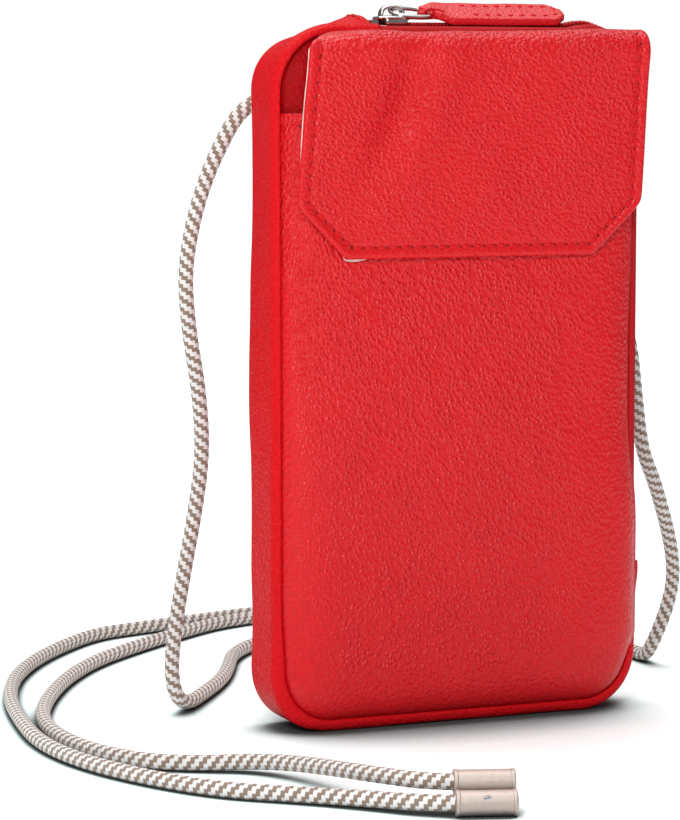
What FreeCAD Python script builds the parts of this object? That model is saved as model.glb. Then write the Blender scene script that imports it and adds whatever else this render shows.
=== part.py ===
import FreeCAD, Part
import math
import os

# A crossbody phone pouch: a leather body with a zip compartment behind, a slip pocket for a phone in
# front under a flap with hidden magnets, and a braided cord whose two ends are held in a twin clamp.
# Millimetres. X runs along the front, the front faces -Y, Z is up, and the base stands on z = 0.

os.makedirs("parts", exist_ok=True)
V = FreeCAD.Vector

# Body
BODY_WIDTH = 105.6
BODY_HEIGHT = 184.0
SEAM_DEPTH = 18.7
BOTTOM_RADIUS = 16.5
TOP_RADIUS = 18.0
EDGE_ROLL = 2.8
SEAM_LIP = 0.4
GUSSET_WALL = 1.4
PANEL_WALL = 1.2
RIM_RECESS = 0.25

# Swelling of the panels
FRONT_BULGE = 5.2
FRONT_POWER = 12
MOUTH_DROP = 23.0
MOUTH_LIFT = 3.4
LIFT_REACH = 46.0
DIVIDER_WALL = 1.0
DIVIDER_CLEAR = 0.25
DIVIDER_SAG = 6.2
DIVIDER_POWER = 8
SAG_DROP = 2.0
SAG_REACH = 34.0
BACK_BULGE = 2.5
BACK_POWER = 8
LINING_WALL = 1.0
LINING_INSET = 6.0
SHEET_COLUMN_COUNT = 23
SHEET_ROW_COUNT = 29

# Zip
ZIP_START_X = -22.8
ZIP_END_Z = 40.0
TAPE_INSET = 0.6
TAPE_WALL = 0.8
TAPE_SLOT = 1.6
TOOTH_PITCH = 2.0
TOOTH_GAP = 0.2
TOOTH_HEIGHT = 1.6
TOOTH_REACH = 0.5
CHAIN_HALF = 2.6
STOP_LENGTH = 1.6
STOP_GAP = 0.5
END_TAB_LENGTH = 12.0
END_TAB_WIDTH = 13.0
END_TAB_HEIGHT = 2.4
END_TAB_EDGE = 0.4
END_TAB_NOSE = 1.2
END_TAB_ROUND = 0.3

# Slider, pull ring and pull tab
SLIDER_LENGTH = 9.0
SLIDER_FLARE = 0.8
SLIDER_RIM = 0.2
SLIDER_PLATE = 0.9
SLIDER_FLANGE = 0.7
SLIDER_GAP = 0.3
SLIDER_ROUND = 1.2
POST_LENGTH = 2.6
POST_WIDTH = 1.0
WEDGE_WIDTH = 2.4
BRIDGE_WIDTH = 2.2
BRIDGE_LENGTH = 6.4
BRIDGE_WALL = 0.9
RING_WIRE = 1.3
RING_LENGTH = 10.4
RING_WIDTH = 7.2
RING_CORNER = 1.4
RING_LIFT = 0.35
RING_PLAY = 0.25
TAB_LENGTH = 38.8
TAB_WIDTH = 10.0
TAB_WALL = 2.2
TAB_TILT = 18.0
TAB_NECK = 6.0
TAB_CHAMFER = 2.6
TAB_LOOP_WALL = 0.9
TAB_LOOP_GAP = 0.3
TAB_LOOP_SIDE = 0.2

# Flap
FLAP_HALF = 48.4
FLAP_DROP = 60.2
FLAP_CHAMFER = 13.4
FLAP_WALL = 1.2
FLAP_LINING = 0.6
FLAP_FOLD = 5.4
FLAP_EDGE_CLEAR = 0.4
FLAP_MOUTH_CLEAR = 0.5
FLAP_ROOT_GAP = 0.45
FLAP_ROOT_HALF = 37.0
FLAP_ROOT_FLARE = 6.6
FLAP_TOP_DROP = 2.0
LINING_ROOT = 1.5
MAGNET_RADIUS = 6.0
MAGNET_WALL = 0.7
MAGNET_RISE = 16.2
MAGNET_GAP = 0.05
CUT_MARGIN = 0.01

# Cord, its two loops on the back, and the twin clamp on its ends
CORD_WIDTH = 4.0
CORD_CLEAR = 0.3
BEND_SHARE = 0.45
FLOOR_GAP = 0.05
LOOP_EDGE = 17.3
LOOP_WIDTH = 10.0
LOOP_DROP = 19.0
LOOP_BED = 0.2
LOOP_WALL = 1.3
LOOP_TAIL = 16.0
EXIT_RUN = 4.9
CLAMP_RADIUS = 3.15
CLAMP_WAIST = 3.0
CLAMP_COLLAR = 1.1
CLAMP_ROUND = 0.35
CLAMP_LENGTH = 14.4
CLAMP_SPACING = 5.95
CLAMP_TILT = 40.0
CLAMP_HEADING = -18.0
CLAMP_BORE_DEPTH = 10.0
CLAMP_BORE_GAP = 0.1
CLAMP_X = -44.5
CLAMP_Y = -105.4
SCREW_RADIUS = 0.9
SCREW_LENGTH = 0.7
SCREW_RISE = 35.0
SCREW_SLOT = 0.3
SCREW_GAP = 0.05

HALF_DEPTH = SEAM_DEPTH / 2
PANEL_INSET = EDGE_ROLL + SEAM_LIP
MOUTH_HEIGHT = BODY_HEIGHT - MOUTH_DROP
TAPE_TOP = BODY_HEIGHT - TAPE_INSET
CHAIN_TOP = TAPE_TOP + TOOTH_HEIGHT
PLATE_TOP = CHAIN_TOP + SLIDER_GAP + SLIDER_PLATE
RING_Z = PLATE_TOP + RING_LIFT + RING_WIRE / 2
TOOTH_WIDTH = TOOTH_PITCH / 2 - TOOTH_GAP
SLIDER_X = ZIP_START_X + STOP_LENGTH + STOP_GAP + SLIDER_LENGTH / 2
SLIDER_NARROW = 2 * (CHAIN_HALF + SLIDER_GAP + SLIDER_FLANGE + SLIDER_RIM)
BRIDGE_CLEAR = RING_LIFT + RING_WIRE + RING_PLAY
TAB_X = SLIDER_X + RING_LENGTH
TAB_LOOP_WIDTH = RING_WIDTH - 2 * RING_CORNER - 2 * TAB_LOOP_SIDE
FLAP_ROOT_Z = BODY_HEIGHT - FLAP_TOP_DROP - FLAP_WALL / 2
FLAP_ROOT_Y = -HALF_DEPTH - FLAP_ROOT_GAP - FLAP_WALL / 2
FLAP_EDGE_Z = BODY_HEIGHT - FLAP_DROP
MAGNET_HEIGHT = FLAP_EDGE_Z + MAGNET_RISE
LOOP_OUTER = CORD_WIDTH / 2 + CORD_CLEAR + LOOP_WALL
LOOP_Y = HALF_DEPTH - RIM_RECESS + BACK_BULGE + LOOP_OUTER - LOOP_BED
LOOP_Z = BODY_HEIGHT - LOOP_DROP
LOOP_X = BODY_WIDTH / 2 - LOOP_EDGE
FLOOR_Z = CORD_WIDTH / 2 + FLOOR_GAP

# The cord's two free stretches, from a loop on the back to the clamp
LEFT_ROUTE = [
    (-50.0, 15.1, 163.3), (-53.9, 15.3, 159.8), (-57.4, 15.6, 153.8), (-61.4, 16.0, 145.4),
    (-65.2, 16.4, 134.0),
    (-67.6, 17.2, 119.5), (-66.0, 18.4, 104.0), (-62.9, 19.4, 88.0), (-61.6, 20.2, 71.5),
    (-63.6, 21.4, 55.0), (-66.4, 22.8, 38.5), (-68.6, 24.0, 23.5), (-69.4, 24.6, 12.5),
    (-67.6, 26.0, 5.2), (-62.5, 31.0, FLOOR_Z), (-53.5, 43.4, FLOOR_Z), (-42.0, 60.5, FLOOR_Z),
    (-34.0, 77.5, FLOOR_Z), (-26.5, 95.5, FLOOR_Z), (-12.5, 111.0, FLOOR_Z), (6.0, 117.5, FLOOR_Z),
    (22.0, 122.0, FLOOR_Z), (32.0, 133.0, FLOOR_Z), (29.0, 147.0, FLOOR_Z), (16.0, 153.5, FLOOR_Z),
    (0.0, 151.5, FLOOR_Z), (-15.5, 145.0, FLOOR_Z), (-32.0, 132.0, FLOOR_Z), (-50.0, 116.5, FLOOR_Z),
    (-67.5, 99.5, FLOOR_Z), (-82.5, 78.0, FLOOR_Z), (-95.5, 52.5, FLOOR_Z), (-105.0, 27.0, FLOOR_Z),
    (-107.0, 3.0, FLOOR_Z), (-103.5, -17.0, FLOOR_Z), (-94.5, -33.0, FLOOR_Z), (-83.0, -40.0, 2.2),
    (-72.5, -44.5, 2.7), (-65.5, -54.0, 3.8), (-61.0, -67.5, 5.1), (-56.5, -83.0, 6.4),
]
RIGHT_ROUTE = [
    (50.4, 15.1, 163.3), (54.6, 15.4, 159.6), (57.2, 15.8, 153.6), (58.4, 16.0, 145.0),
    (58.2, 16.4, 130.0),
    (58.6, 17.2, 113.5), (61.6, 18.4, 97.0), (68.0, 21.5, 81.0), (76.6, 28.0, 65.0),
    (85.0, 35.0, 51.0), (89.6, 39.5, 37.5), (89.6, 40.6, 24.5), (87.2, 41.4, 14.5),
    (85.2, 45.8, 6.6), (83.6, 54.5, FLOOR_Z), (84.0, 69.0, FLOOR_Z), (83.0, 88.0, FLOOR_Z),
    (77.0, 109.0, FLOOR_Z), (65.5, 130.0, FLOOR_Z), (48.0, 148.0, FLOOR_Z), (26.0, 158.5, FLOOR_Z),
    (2.0, 159.5, FLOOR_Z), (-20.0, 152.5, FLOOR_Z), (-38.0, 147.5, FLOOR_Z), (-54.0, 142.0, FLOOR_Z),
    (-69.0, 126.5, FLOOR_Z), (-84.0, 106.5, FLOOR_Z), (-96.5, 83.0, FLOOR_Z), (-105.5, 55.5, FLOOR_Z),
    (-110.5, 27.0, FLOOR_Z), (-113.4, 0.0, FLOOR_Z), (-110.5, -24.0, FLOOR_Z), (-102.0, -46.5, FLOOR_Z),
    (-89.0, -67.5, FLOOR_Z), (-73.5, -79.0, FLOOR_Z), (-60.5, -90.5, 2.4),
]


def outline_wire(inset, y):
    """Rounded outline of the body seen from the front, drawn in by an inset."""
    half = BODY_WIDTH / 2 - inset
    low = inset
    high = BODY_HEIGHT - inset
    bottom = BOTTOM_RADIUS - inset
    top = TOP_RADIUS - inset
    corners = [(-1, low + bottom, bottom, 270, 180), (-1, high - top, top, 180, 90),
               (1, high - top, top, 90, 0), (1, low + bottom, bottom, 360, 270)]
    edges = []
    last = None
    for side, cz, radius, start, end in corners:
        cx = side * (half - radius)
        points = []
        for angle in (start, (start + end) / 2, end):
            a = math.radians(angle)
            points.append(V(cx + radius * math.cos(a), y, cz + radius * math.sin(a)))
        if last is not None:
            edges.append(Part.LineSegment(last, points[0]).toShape())
        edges.append(Part.Arc(*points).toShape())
        last = points[2]
    edges.append(Part.LineSegment(last, edges[0].Vertexes[0].Point).toShape())
    return Part.Wire(Part.__sortEdges__(edges))


def prism(inset, y0, y1):
    """The outline run from one depth to another."""
    return Part.Face(outline_wire(inset, y0)).extrude(V(0, y1 - y0, 0))


def rolled_prism(inset, half_depth, roll):
    """A prism about the middle plane with both rims rounded."""
    body = prism(inset, -half_depth, half_depth)
    rims = [e for e in body.Edges if e.BoundBox.YLength < 1e-6]
    return body.makeFillet(roll, rims)


def band(inset, wall):
    """The strip round the body between the front and back seams, with its edges rolled in."""
    outer = rolled_prism(inset, HALF_DEPTH, EDGE_ROLL - inset)
    inner = rolled_prism(inset + wall, HALF_DEPTH - wall, EDGE_ROLL - inset - wall)
    return outer.cut(inner).cut(prism(PANEL_INSET, -SEAM_DEPTH, SEAM_DEPTH))


def zip_zone():
    """The stretch of the band that the zip takes: the top right part and the right side."""
    corner_z = BODY_HEIGHT - TOP_RADIUS
    depth = 2 * SEAM_DEPTH
    top = Part.makeBox(BODY_WIDTH, depth, TOP_RADIUS + EDGE_ROLL, V(ZIP_START_X, -SEAM_DEPTH, corner_z))
    side = Part.makeBox(BODY_WIDTH, depth, corner_z - ZIP_END_Z, V(0, -SEAM_DEPTH, ZIP_END_Z))
    return top.fuse(side)


def side_gusset():
    """Leather strip round the left, the base and the foot of the right side."""
    return band(0, GUSSET_WALL).cut(zip_zone())


def zip_tape(side):
    """One half of the zip tape, from its seam to the slot down the middle."""
    low = -SEAM_DEPTH if side < 0 else TAPE_SLOT / 2
    half = Part.makeBox(2 * BODY_WIDTH, SEAM_DEPTH - TAPE_SLOT / 2, 2 * BODY_HEIGHT, V(-BODY_WIDTH, low, 0))
    return band(TAPE_INSET, TAPE_WALL).common(zip_zone()).common(half)


def zip_place(distance):
    """Place on the zip line, by its length from the start: along the top, round the corner, down."""
    corner_x = BODY_WIDTH / 2 - TOP_RADIUS
    corner_z = BODY_HEIGHT - TOP_RADIUS
    radius = TOP_RADIUS - TAPE_INSET
    top_run = corner_x - ZIP_START_X
    turn = radius * math.pi / 2
    if distance <= top_run:
        return FreeCAD.Placement(V(ZIP_START_X + distance, 0, TAPE_TOP), FreeCAD.Rotation(V(0, 1, 0), 0))
    if distance <= top_run + turn:
        angle = (distance - top_run) / radius
        centre = V(corner_x + radius * math.sin(angle), 0, corner_z + radius * math.cos(angle))
        return FreeCAD.Placement(centre, FreeCAD.Rotation(V(0, 1, 0), math.degrees(angle)))
    drop = distance - top_run - turn
    centre = V(BODY_WIDTH / 2 - TAPE_INSET, 0, corner_z - drop)
    return FreeCAD.Placement(centre, FreeCAD.Rotation(V(0, 1, 0), 90))


def zip_length():
    """Length of the zip line."""
    straight = BODY_WIDTH / 2 - TOP_RADIUS - ZIP_START_X + BODY_HEIGHT - TOP_RADIUS - ZIP_END_Z
    return straight + (TOP_RADIUS - TAPE_INSET) * math.pi / 2


def zip_block(distance, length, y0, y1, height):
    """A small block on the tape, square to the zip line."""
    block = Part.makeBox(length, y1 - y0, height, V(-length / 2, y0, 0))
    block.Placement = zip_place(distance)
    return block


def first_tooth():
    """Where the teeth start, just behind the slider's post."""
    post_end = SLIDER_X - SLIDER_LENGTH / 2 + POST_LENGTH
    return post_end - ZIP_START_X + SLIDER_GAP + TOOTH_WIDTH / 2


def zip_teeth(side):
    """One row of teeth, set half a pitch from the other row."""
    last = zip_length() - 2 * STOP_LENGTH
    start = first_tooth() + (TOOTH_PITCH / 2 if side > 0 else 0)
    count = int((last - start) / TOOTH_PITCH)
    y0, y1 = (-CHAIN_HALF, TOOTH_REACH) if side < 0 else (-TOOTH_REACH, CHAIN_HALF)
    teeth = []
    for i in range(count):
        teeth.append(zip_block(start + i * TOOTH_PITCH, TOOTH_WIDTH, y0, y1, TOOTH_HEIGHT))
    return Part.makeCompound(teeth)


def zip_stops():
    """Two top stops beside the slot and one bottom stop across it."""
    top = STOP_LENGTH / 2
    bottom = zip_length() - STOP_LENGTH / 2
    slot = TAPE_SLOT / 2
    return Part.makeCompound([
        zip_block(top, STOP_LENGTH, -CHAIN_HALF, -slot, TOOTH_HEIGHT),
        zip_block(top, STOP_LENGTH, slot, CHAIN_HALF, TOOTH_HEIGHT),
        zip_block(bottom, STOP_LENGTH, -CHAIN_HALF, CHAIN_HALF, TOOTH_HEIGHT),
    ])


def zip_end_tab():
    """Folded leather end that rises from the gusset to a round nose where the zip starts."""
    y = -END_TAB_WIDTH / 2
    top = BODY_HEIGHT + END_TAB_HEIGHT
    thin = V(ZIP_START_X - END_TAB_LENGTH, y, BODY_HEIGHT)
    rise = V(thin.x, y, BODY_HEIGHT + END_TAB_EDGE)
    crown = V(ZIP_START_X - END_TAB_NOSE, y, top)
    bow = crown + V(END_TAB_NOSE * math.sqrt(0.5), 0, END_TAB_NOSE * (math.sqrt(0.5) - 1))
    brow = V(ZIP_START_X, y, top - END_TAB_NOSE)
    foot = V(ZIP_START_X, y, BODY_HEIGHT)
    runs = ((thin, rise), (rise, crown), (brow, foot), (foot, thin))
    edges = [Part.LineSegment(a, b).toShape() for a, b in runs]
    edges.append(Part.Arc(crown, bow, brow).toShape())
    tab = Part.Face(Part.Wire(Part.__sortEdges__(edges))).extrude(V(0, END_TAB_WIDTH, 0))
    rims = [e for e in tab.Edges if e.BoundBox.YLength < 1e-6 and e.BoundBox.XLength > END_TAB_LENGTH / 2]
    return tab.makeFillet(END_TAB_ROUND, [e for e in rims if e.BoundBox.ZMax > BODY_HEIGHT + END_TAB_EDGE])


def edge_factor(x, z, inset, power):
    """Falls from 1 in the middle of a panel to 0 at its sides and its rounded foot."""
    half = BODY_WIDTH / 2 - inset
    radius = BOTTOM_RADIUS - inset
    side = abs(x) - half + radius
    foot = inset + radius - z
    distance = half - abs(x)
    if z < BODY_HEIGHT / 2:
        distance = radius - math.hypot(max(side, 0.0), max(foot, 0.0)) - min(max(side, foot), 0.0)
    return 1 - (1 - max(distance, -inset) / half) ** power


def front_bulge(x, z):
    """How far the front panel stands out from its seams."""
    rise = max(0.0, (z - MOUTH_HEIGHT) / LIFT_REACH + 1)
    return edge_factor(x, z, PANEL_INSET, FRONT_POWER) * (FRONT_BULGE + MOUTH_LIFT * rise ** 2)


def divider_sag(x, z):
    """How far the divider is pressed back by what the pocket holds."""
    t = min(1.0, max(0.0, (z - BODY_HEIGHT + SAG_DROP) / SAG_REACH + 1))
    return edge_factor(x, z, EDGE_ROLL, DIVIDER_POWER) * DIVIDER_SAG * (1 - t * t * (3 - 2 * t))


def back_bulge(x, z):
    """How far the back panel stands out from its seams."""
    up = max(0.0, (z - BODY_HEIGHT / 2) / (BODY_HEIGHT / 2 - PANEL_INSET))
    return edge_factor(x, z, PANEL_INSET, BACK_POWER) * BACK_BULGE * (1 - up ** BACK_POWER)


def spaced(start, end, count):
    """Places from one value to another, closer together towards both ends."""
    turns = [math.pi * i / (count - 1) for i in range(count)]
    return [start + (end - start) * (1 - math.cos(turn)) / 2 for turn in turns]


def sheet(depth, wall, inset, top=BODY_HEIGHT):
    """A swelling sheet of even thickness, cut to the outline. depth gives its front face."""
    heights = spaced(0, top, SHEET_ROW_COUNT)
    rows = []
    for x in spaced(-BODY_WIDTH / 2, BODY_WIDTH / 2, SHEET_COLUMN_COUNT):
        rows.append([V(x, depth(x, z), z) for z in heights])
    surface = Part.BSplineSurface()
    surface.interpolate(rows)
    slab = surface.toShape().extrude(V(0, wall, 0))
    room = SEAM_DEPTH + FRONT_BULGE + MOUTH_LIFT
    return slab.common(prism(inset, -room, room))


def front_face(x, z):
    """Depth of the front panel's outer face."""
    return -HALF_DEPTH + RIM_RECESS - front_bulge(x, z)


def front_panel():
    """Outer leather of the phone pocket, open at the mouth."""
    return sheet(front_face, PANEL_WALL, PANEL_INSET, MOUTH_HEIGHT)


def pocket_magnet_body(radius, wall):
    """A disc behind the front panel, square to its slope."""
    step = MAGNET_RADIUS
    rise = front_face(0, MAGNET_HEIGHT + step) - front_face(0, MAGNET_HEIGHT - step)
    axis = V(0, 1, -rise / (2 * step))
    axis.normalize()
    foot = V(0, front_face(0, MAGNET_HEIGHT) + PANEL_WALL + MAGNET_GAP, MAGNET_HEIGHT)
    return Part.makeCylinder(radius, wall, foot, axis)


def front_lining():
    """Lining of the phone pocket behind the front panel, with a seat for its magnet."""
    lining = sheet(lambda x, z: front_face(x, z) + PANEL_WALL, LINING_WALL, LINING_INSET, MOUTH_HEIGHT)
    seat = pocket_magnet_body(MAGNET_RADIUS + MAGNET_GAP, MAGNET_WALL + MAGNET_GAP)
    return lining.cut(seat).cut(seat.translated(V(0, -MAGNET_WALL, 0)))


def divider_panel():
    """Wall between the phone pocket and the zip compartment."""
    front = -HALF_DEPTH + GUSSET_WALL + DIVIDER_CLEAR
    return sheet(lambda x, z: front + divider_sag(x, z), DIVIDER_WALL, EDGE_ROLL)


def back_face(x, z):
    """Depth of the back panel's inner face."""
    return HALF_DEPTH - RIM_RECESS - PANEL_WALL + back_bulge(x, z)


def back_panel():
    """Outer leather of the back."""
    return sheet(back_face, PANEL_WALL, PANEL_INSET)


def back_lining():
    """Lining of the zip compartment on the back panel."""
    return sheet(lambda x, z: back_face(x, z) - LINING_WALL, LINING_WALL, LINING_INSET)


def flap_lines():
    """The flap's lean, the middle of its fold and the length of its fall, set by the panel under it."""
    edge_y = front_face(0, FLAP_EDGE_Z) - FLAP_EDGE_CLEAR
    mouth_y = front_face(0, MOUTH_HEIGHT) - FLAP_MOUTH_CLEAR
    lean = math.atan((edge_y - mouth_y) / (MOUTH_HEIGHT - FLAP_EDGE_Z))
    fold_z = FLAP_ROOT_Z + FLAP_WALL / 2 - FLAP_FOLD
    fall = (fold_z - FLAP_FOLD * math.sin(lean) - FLAP_EDGE_Z) / math.cos(lean)
    inner = FLAP_FOLD - FLAP_WALL - FLAP_LINING
    fold_y = edge_y + inner * math.cos(lean) - fall * math.sin(lean)
    return lean, fold_y, fold_z, fall


def flap_section(outer, inner, root_y):
    """Section of one layer of the flap, between two depths under its outer face: top, fold and fall."""
    lean, fold_y, fold_z, fall = flap_lines()
    down = V(0, math.sin(lean), -math.cos(lean))

    def on_fold(radius, angle):
        a = math.radians(angle)
        return V(-FLAP_HALF, fold_y + radius * math.cos(a), fold_z + radius * math.sin(a))

    edges = []
    turn = 180 + math.degrees(lean)
    ro = FLAP_FOLD - outer
    ri = FLAP_FOLD - inner
    root_out = V(-FLAP_HALF, root_y, fold_z + ro)
    root_in = V(-FLAP_HALF, root_y, fold_z + ri)
    foot_out = on_fold(ro, turn) + down * fall
    foot_in = on_fold(ri, turn) + down * fall
    edges.append(Part.LineSegment(root_out, on_fold(ro, 90)).toShape())
    edges.append(Part.Arc(on_fold(ro, 90), on_fold(ro, (90 + turn) / 2), on_fold(ro, turn)).toShape())
    edges.append(Part.LineSegment(on_fold(ro, turn), foot_out).toShape())
    edges.append(Part.LineSegment(foot_out, foot_in).toShape())
    edges.append(Part.LineSegment(foot_in, on_fold(ri, turn)).toShape())
    edges.append(Part.Arc(on_fold(ri, turn), on_fold(ri, (90 + turn) / 2), on_fold(ri, 90)).toShape())
    edges.append(Part.LineSegment(on_fold(ri, 90), root_in).toShape())
    bulge = V(-FLAP_HALF, root_y + (inner - outer) / 2, fold_z + (ro + ri) / 2)
    edges.append(Part.Arc(root_in, bulge, root_out).toShape())
    return Part.Face(Part.Wire(edges))


def triangle_prism(points, direction):
    """A triangle run along a direction."""
    return Part.Face(Part.makePolygon(points + [points[0]])).extrude(direction)


def flap_layer(outer, inner, root_y):
    """One layer of the flap with its lower corners cut off and its top drawn in to the root."""
    layer = flap_section(outer, inner, root_y).extrude(V(2 * FLAP_HALF, 0, 0))
    back = FLAP_ROOT_Y + FLAP_WALL
    front = FLAP_ROOT_Y - FLAP_ROOT_FLARE
    for side in (-1, 1):
        rim = side * (FLAP_HALF + CUT_MARGIN)
        low = FLAP_EDGE_Z - CUT_MARGIN
        inner_x = side * (FLAP_HALF - FLAP_CHAMFER)
        lower = [V(rim, -BODY_WIDTH, low), V(inner_x, -BODY_WIDTH, low),
                 V(rim, -BODY_WIDTH, low + FLAP_CHAMFER)]
        layer = layer.cut(triangle_prism(lower, V(0, BODY_WIDTH, 0)))
        upper = [V(rim, back, BODY_HEIGHT / 2), V(side * FLAP_ROOT_HALF, back, BODY_HEIGHT / 2),
                 V(rim, front, BODY_HEIGHT / 2)]
        layer = layer.cut(triangle_prism(upper, V(0, 0, BODY_HEIGHT)))
    return layer


def flap_magnet_body(radius, wall):
    """A disc let into the inside of the flap's outer leather."""
    lean, fold_y, fold_z, fall = flap_lines()
    out = V(0, -math.cos(lean), -math.sin(lean))
    start = V(0, fold_y, fold_z) + out * (FLAP_FOLD - FLAP_WALL)
    slide = (start.z - MAGNET_HEIGHT) / math.cos(lean)
    foot = start + V(0, math.sin(lean), -math.cos(lean)) * slide
    return Part.makeCylinder(radius, wall, foot, out)


def flap_outer():
    """Outer leather of the flap."""
    seat = flap_magnet_body(MAGNET_RADIUS + MAGNET_GAP, MAGNET_WALL + MAGNET_GAP)
    return flap_layer(0, FLAP_WALL, FLAP_ROOT_Y).cut(seat)


def flap_lining():
    """Lining of the flap, from just in front of its root."""
    return flap_layer(FLAP_WALL, FLAP_WALL + FLAP_LINING, FLAP_ROOT_Y - LINING_ROOT)


def slider_plate(z):
    """One plate of the slider, wider at the end where the teeth part."""
    left = SLIDER_X - SLIDER_LENGTH / 2
    right = SLIDER_X + SLIDER_LENGTH / 2
    wide = SLIDER_NARROW / 2 + SLIDER_FLARE / 2
    narrow = SLIDER_NARROW / 2
    corners = [V(left, -wide, z), V(right, -narrow, z), V(right, narrow, z), V(left, wide, z)]
    plate = Part.Face(Part.makePolygon(corners + [corners[0]])).extrude(V(0, 0, SLIDER_PLATE))
    uprights = [e for e in plate.Edges if e.BoundBox.ZLength > SLIDER_PLATE / 2]
    return plate.makeFillet(SLIDER_ROUND, uprights)


def slider_body():
    """Zip slider: two plates on a post, guides along the sides, and a bridge for the ring."""
    under = TAPE_TOP - TAPE_WALL - SLIDER_GAP - SLIDER_PLATE
    over = PLATE_TOP - SLIDER_PLATE
    body = slider_plate(under).fuse(slider_plate(over))
    left = SLIDER_X - SLIDER_LENGTH / 2
    post = Part.makeBox(POST_LENGTH, POST_WIDTH, over - under, V(left, -POST_WIDTH / 2, under))
    body = body.fuse(post)
    low = TAPE_TOP + SLIDER_GAP
    wedge = [V(left, -WEDGE_WIDTH / 2, low), V(left + POST_LENGTH, 0, low), V(left, WEDGE_WIDTH / 2, low)]
    body = body.fuse(triangle_prism(wedge, V(0, 0, over - low)))
    guide_length = SLIDER_LENGTH - 2 * SLIDER_ROUND
    inside = CHAIN_HALF + SLIDER_GAP
    for side in (-1, 1):
        y0 = inside if side > 0 else -inside - SLIDER_FLANGE
        foot = V(left + SLIDER_ROUND, y0, low)
        body = body.fuse(Part.makeBox(guide_length, SLIDER_FLANGE, over - low + SLIDER_PLATE / 2, foot))
    bridge_x = SLIDER_X - BRIDGE_LENGTH / 2
    arch = Part.makeBox(BRIDGE_LENGTH, BRIDGE_WIDTH, BRIDGE_CLEAR + BRIDGE_WALL,
                        V(bridge_x, -BRIDGE_WIDTH / 2, PLATE_TOP))
    top_edges = [e for e in arch.Edges if e.BoundBox.ZMin > PLATE_TOP + BRIDGE_CLEAR]
    shoulders = [e for e in top_edges if e.BoundBox.XLength < BRIDGE_WALL]
    arch = arch.makeFillet(SLIDER_ROUND, shoulders)
    room = Part.makeBox(BRIDGE_LENGTH - 2 * BRIDGE_WALL, 2 * BRIDGE_WIDTH, BRIDGE_CLEAR,
                        V(bridge_x + BRIDGE_WALL, -BRIDGE_WIDTH, PLATE_TOP))
    return body.fuse(arch.cut(room)).removeSplitter()


def pull_ring():
    """Rounded wire link through the slider's bridge."""
    half = RING_WIDTH / 2
    c = RING_CORNER
    k = c * (1 - math.sqrt(0.5))
    x0 = SLIDER_X
    x1 = TAB_X
    z = RING_Z
    edges = [
        Part.LineSegment(V(x0, 0, z), V(x0, half - c, z)).toShape(),
        Part.Arc(V(x0, half - c, z), V(x0 + k, half - k, z), V(x0 + c, half, z)).toShape(),
        Part.LineSegment(V(x0 + c, half, z), V(x1 - c, half, z)).toShape(),
        Part.Arc(V(x1 - c, half, z), V(x1 - k, half - k, z), V(x1, half - c, z)).toShape(),
        Part.LineSegment(V(x1, half - c, z), V(x1, 0, z)).toShape(),
    ]
    path = Part.Wire(edges)
    circle = Part.Wire(Part.makeCircle(RING_WIRE / 2, V(x0, 0, z), V(0, 1, 0)))
    half_ring = path.makePipeShell([circle], True, False)
    other = half_ring.mirror(V(0, 0, 0), V(0, 1, 0))
    return half_ring.fuse(other).removeSplitter()


def pull_tab():
    """Leather pull: a loop on the ring, a twisting neck and a stitched tongue with cut corners."""
    bore = RING_WIRE / 2 + TAB_LOOP_GAP
    outer = bore + TAB_LOOP_WALL
    foot = V(TAB_X, -TAB_LOOP_WIDTH / 2, RING_Z)
    loop = Part.makeCylinder(outer, TAB_LOOP_WIDTH, foot, V(0, 1, 0))
    hole = Part.makeCylinder(bore, 2 * TAB_LOOP_WIDTH, foot - V(0, TAB_LOOP_WIDTH / 2, 0), V(0, 1, 0))
    neck_x = TAB_X + TAB_NECK
    tilt = FreeCAD.Rotation(V(1, 0, 0), TAB_TILT)

    def section(x, width, wall, turn):
        corners = []
        for y, z in ((-1, -1), (1, -1), (1, 1), (-1, 1)):
            corners.append(V(x, 0, RING_Z) + turn.multVec(V(0, y * width / 2, z * wall / 2)))
        return Part.makePolygon(corners + [corners[0]])

    level = FreeCAD.Rotation(V(1, 0, 0), 0)
    start = section(TAB_X + bore, TAB_LOOP_WIDTH, TAB_WALL, level)
    end = section(neck_x, TAB_WIDTH, TAB_WALL, tilt)
    neck = Part.makeLoft([start, end], True, True)
    half = TAB_WIDTH / 2
    far = TAB_LENGTH - TAB_NECK
    corners = [V(0, -half, 0), V(far - TAB_CHAMFER, -half, 0), V(far, -half + TAB_CHAMFER, 0),
               V(far, half - TAB_CHAMFER, 0), V(far - TAB_CHAMFER, half, 0), V(0, half, 0)]
    tongue = Part.Face(Part.makePolygon(corners + [corners[0]])).extrude(V(0, 0, TAB_WALL))
    tongue.translate(V(0, 0, -TAB_WALL / 2))
    tongue.Placement = FreeCAD.Placement(V(neck_x, 0, RING_Z), tilt).multiply(tongue.Placement)
    return loop.fuse(neck).fuse(tongue).cut(hole).removeSplitter()


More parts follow.
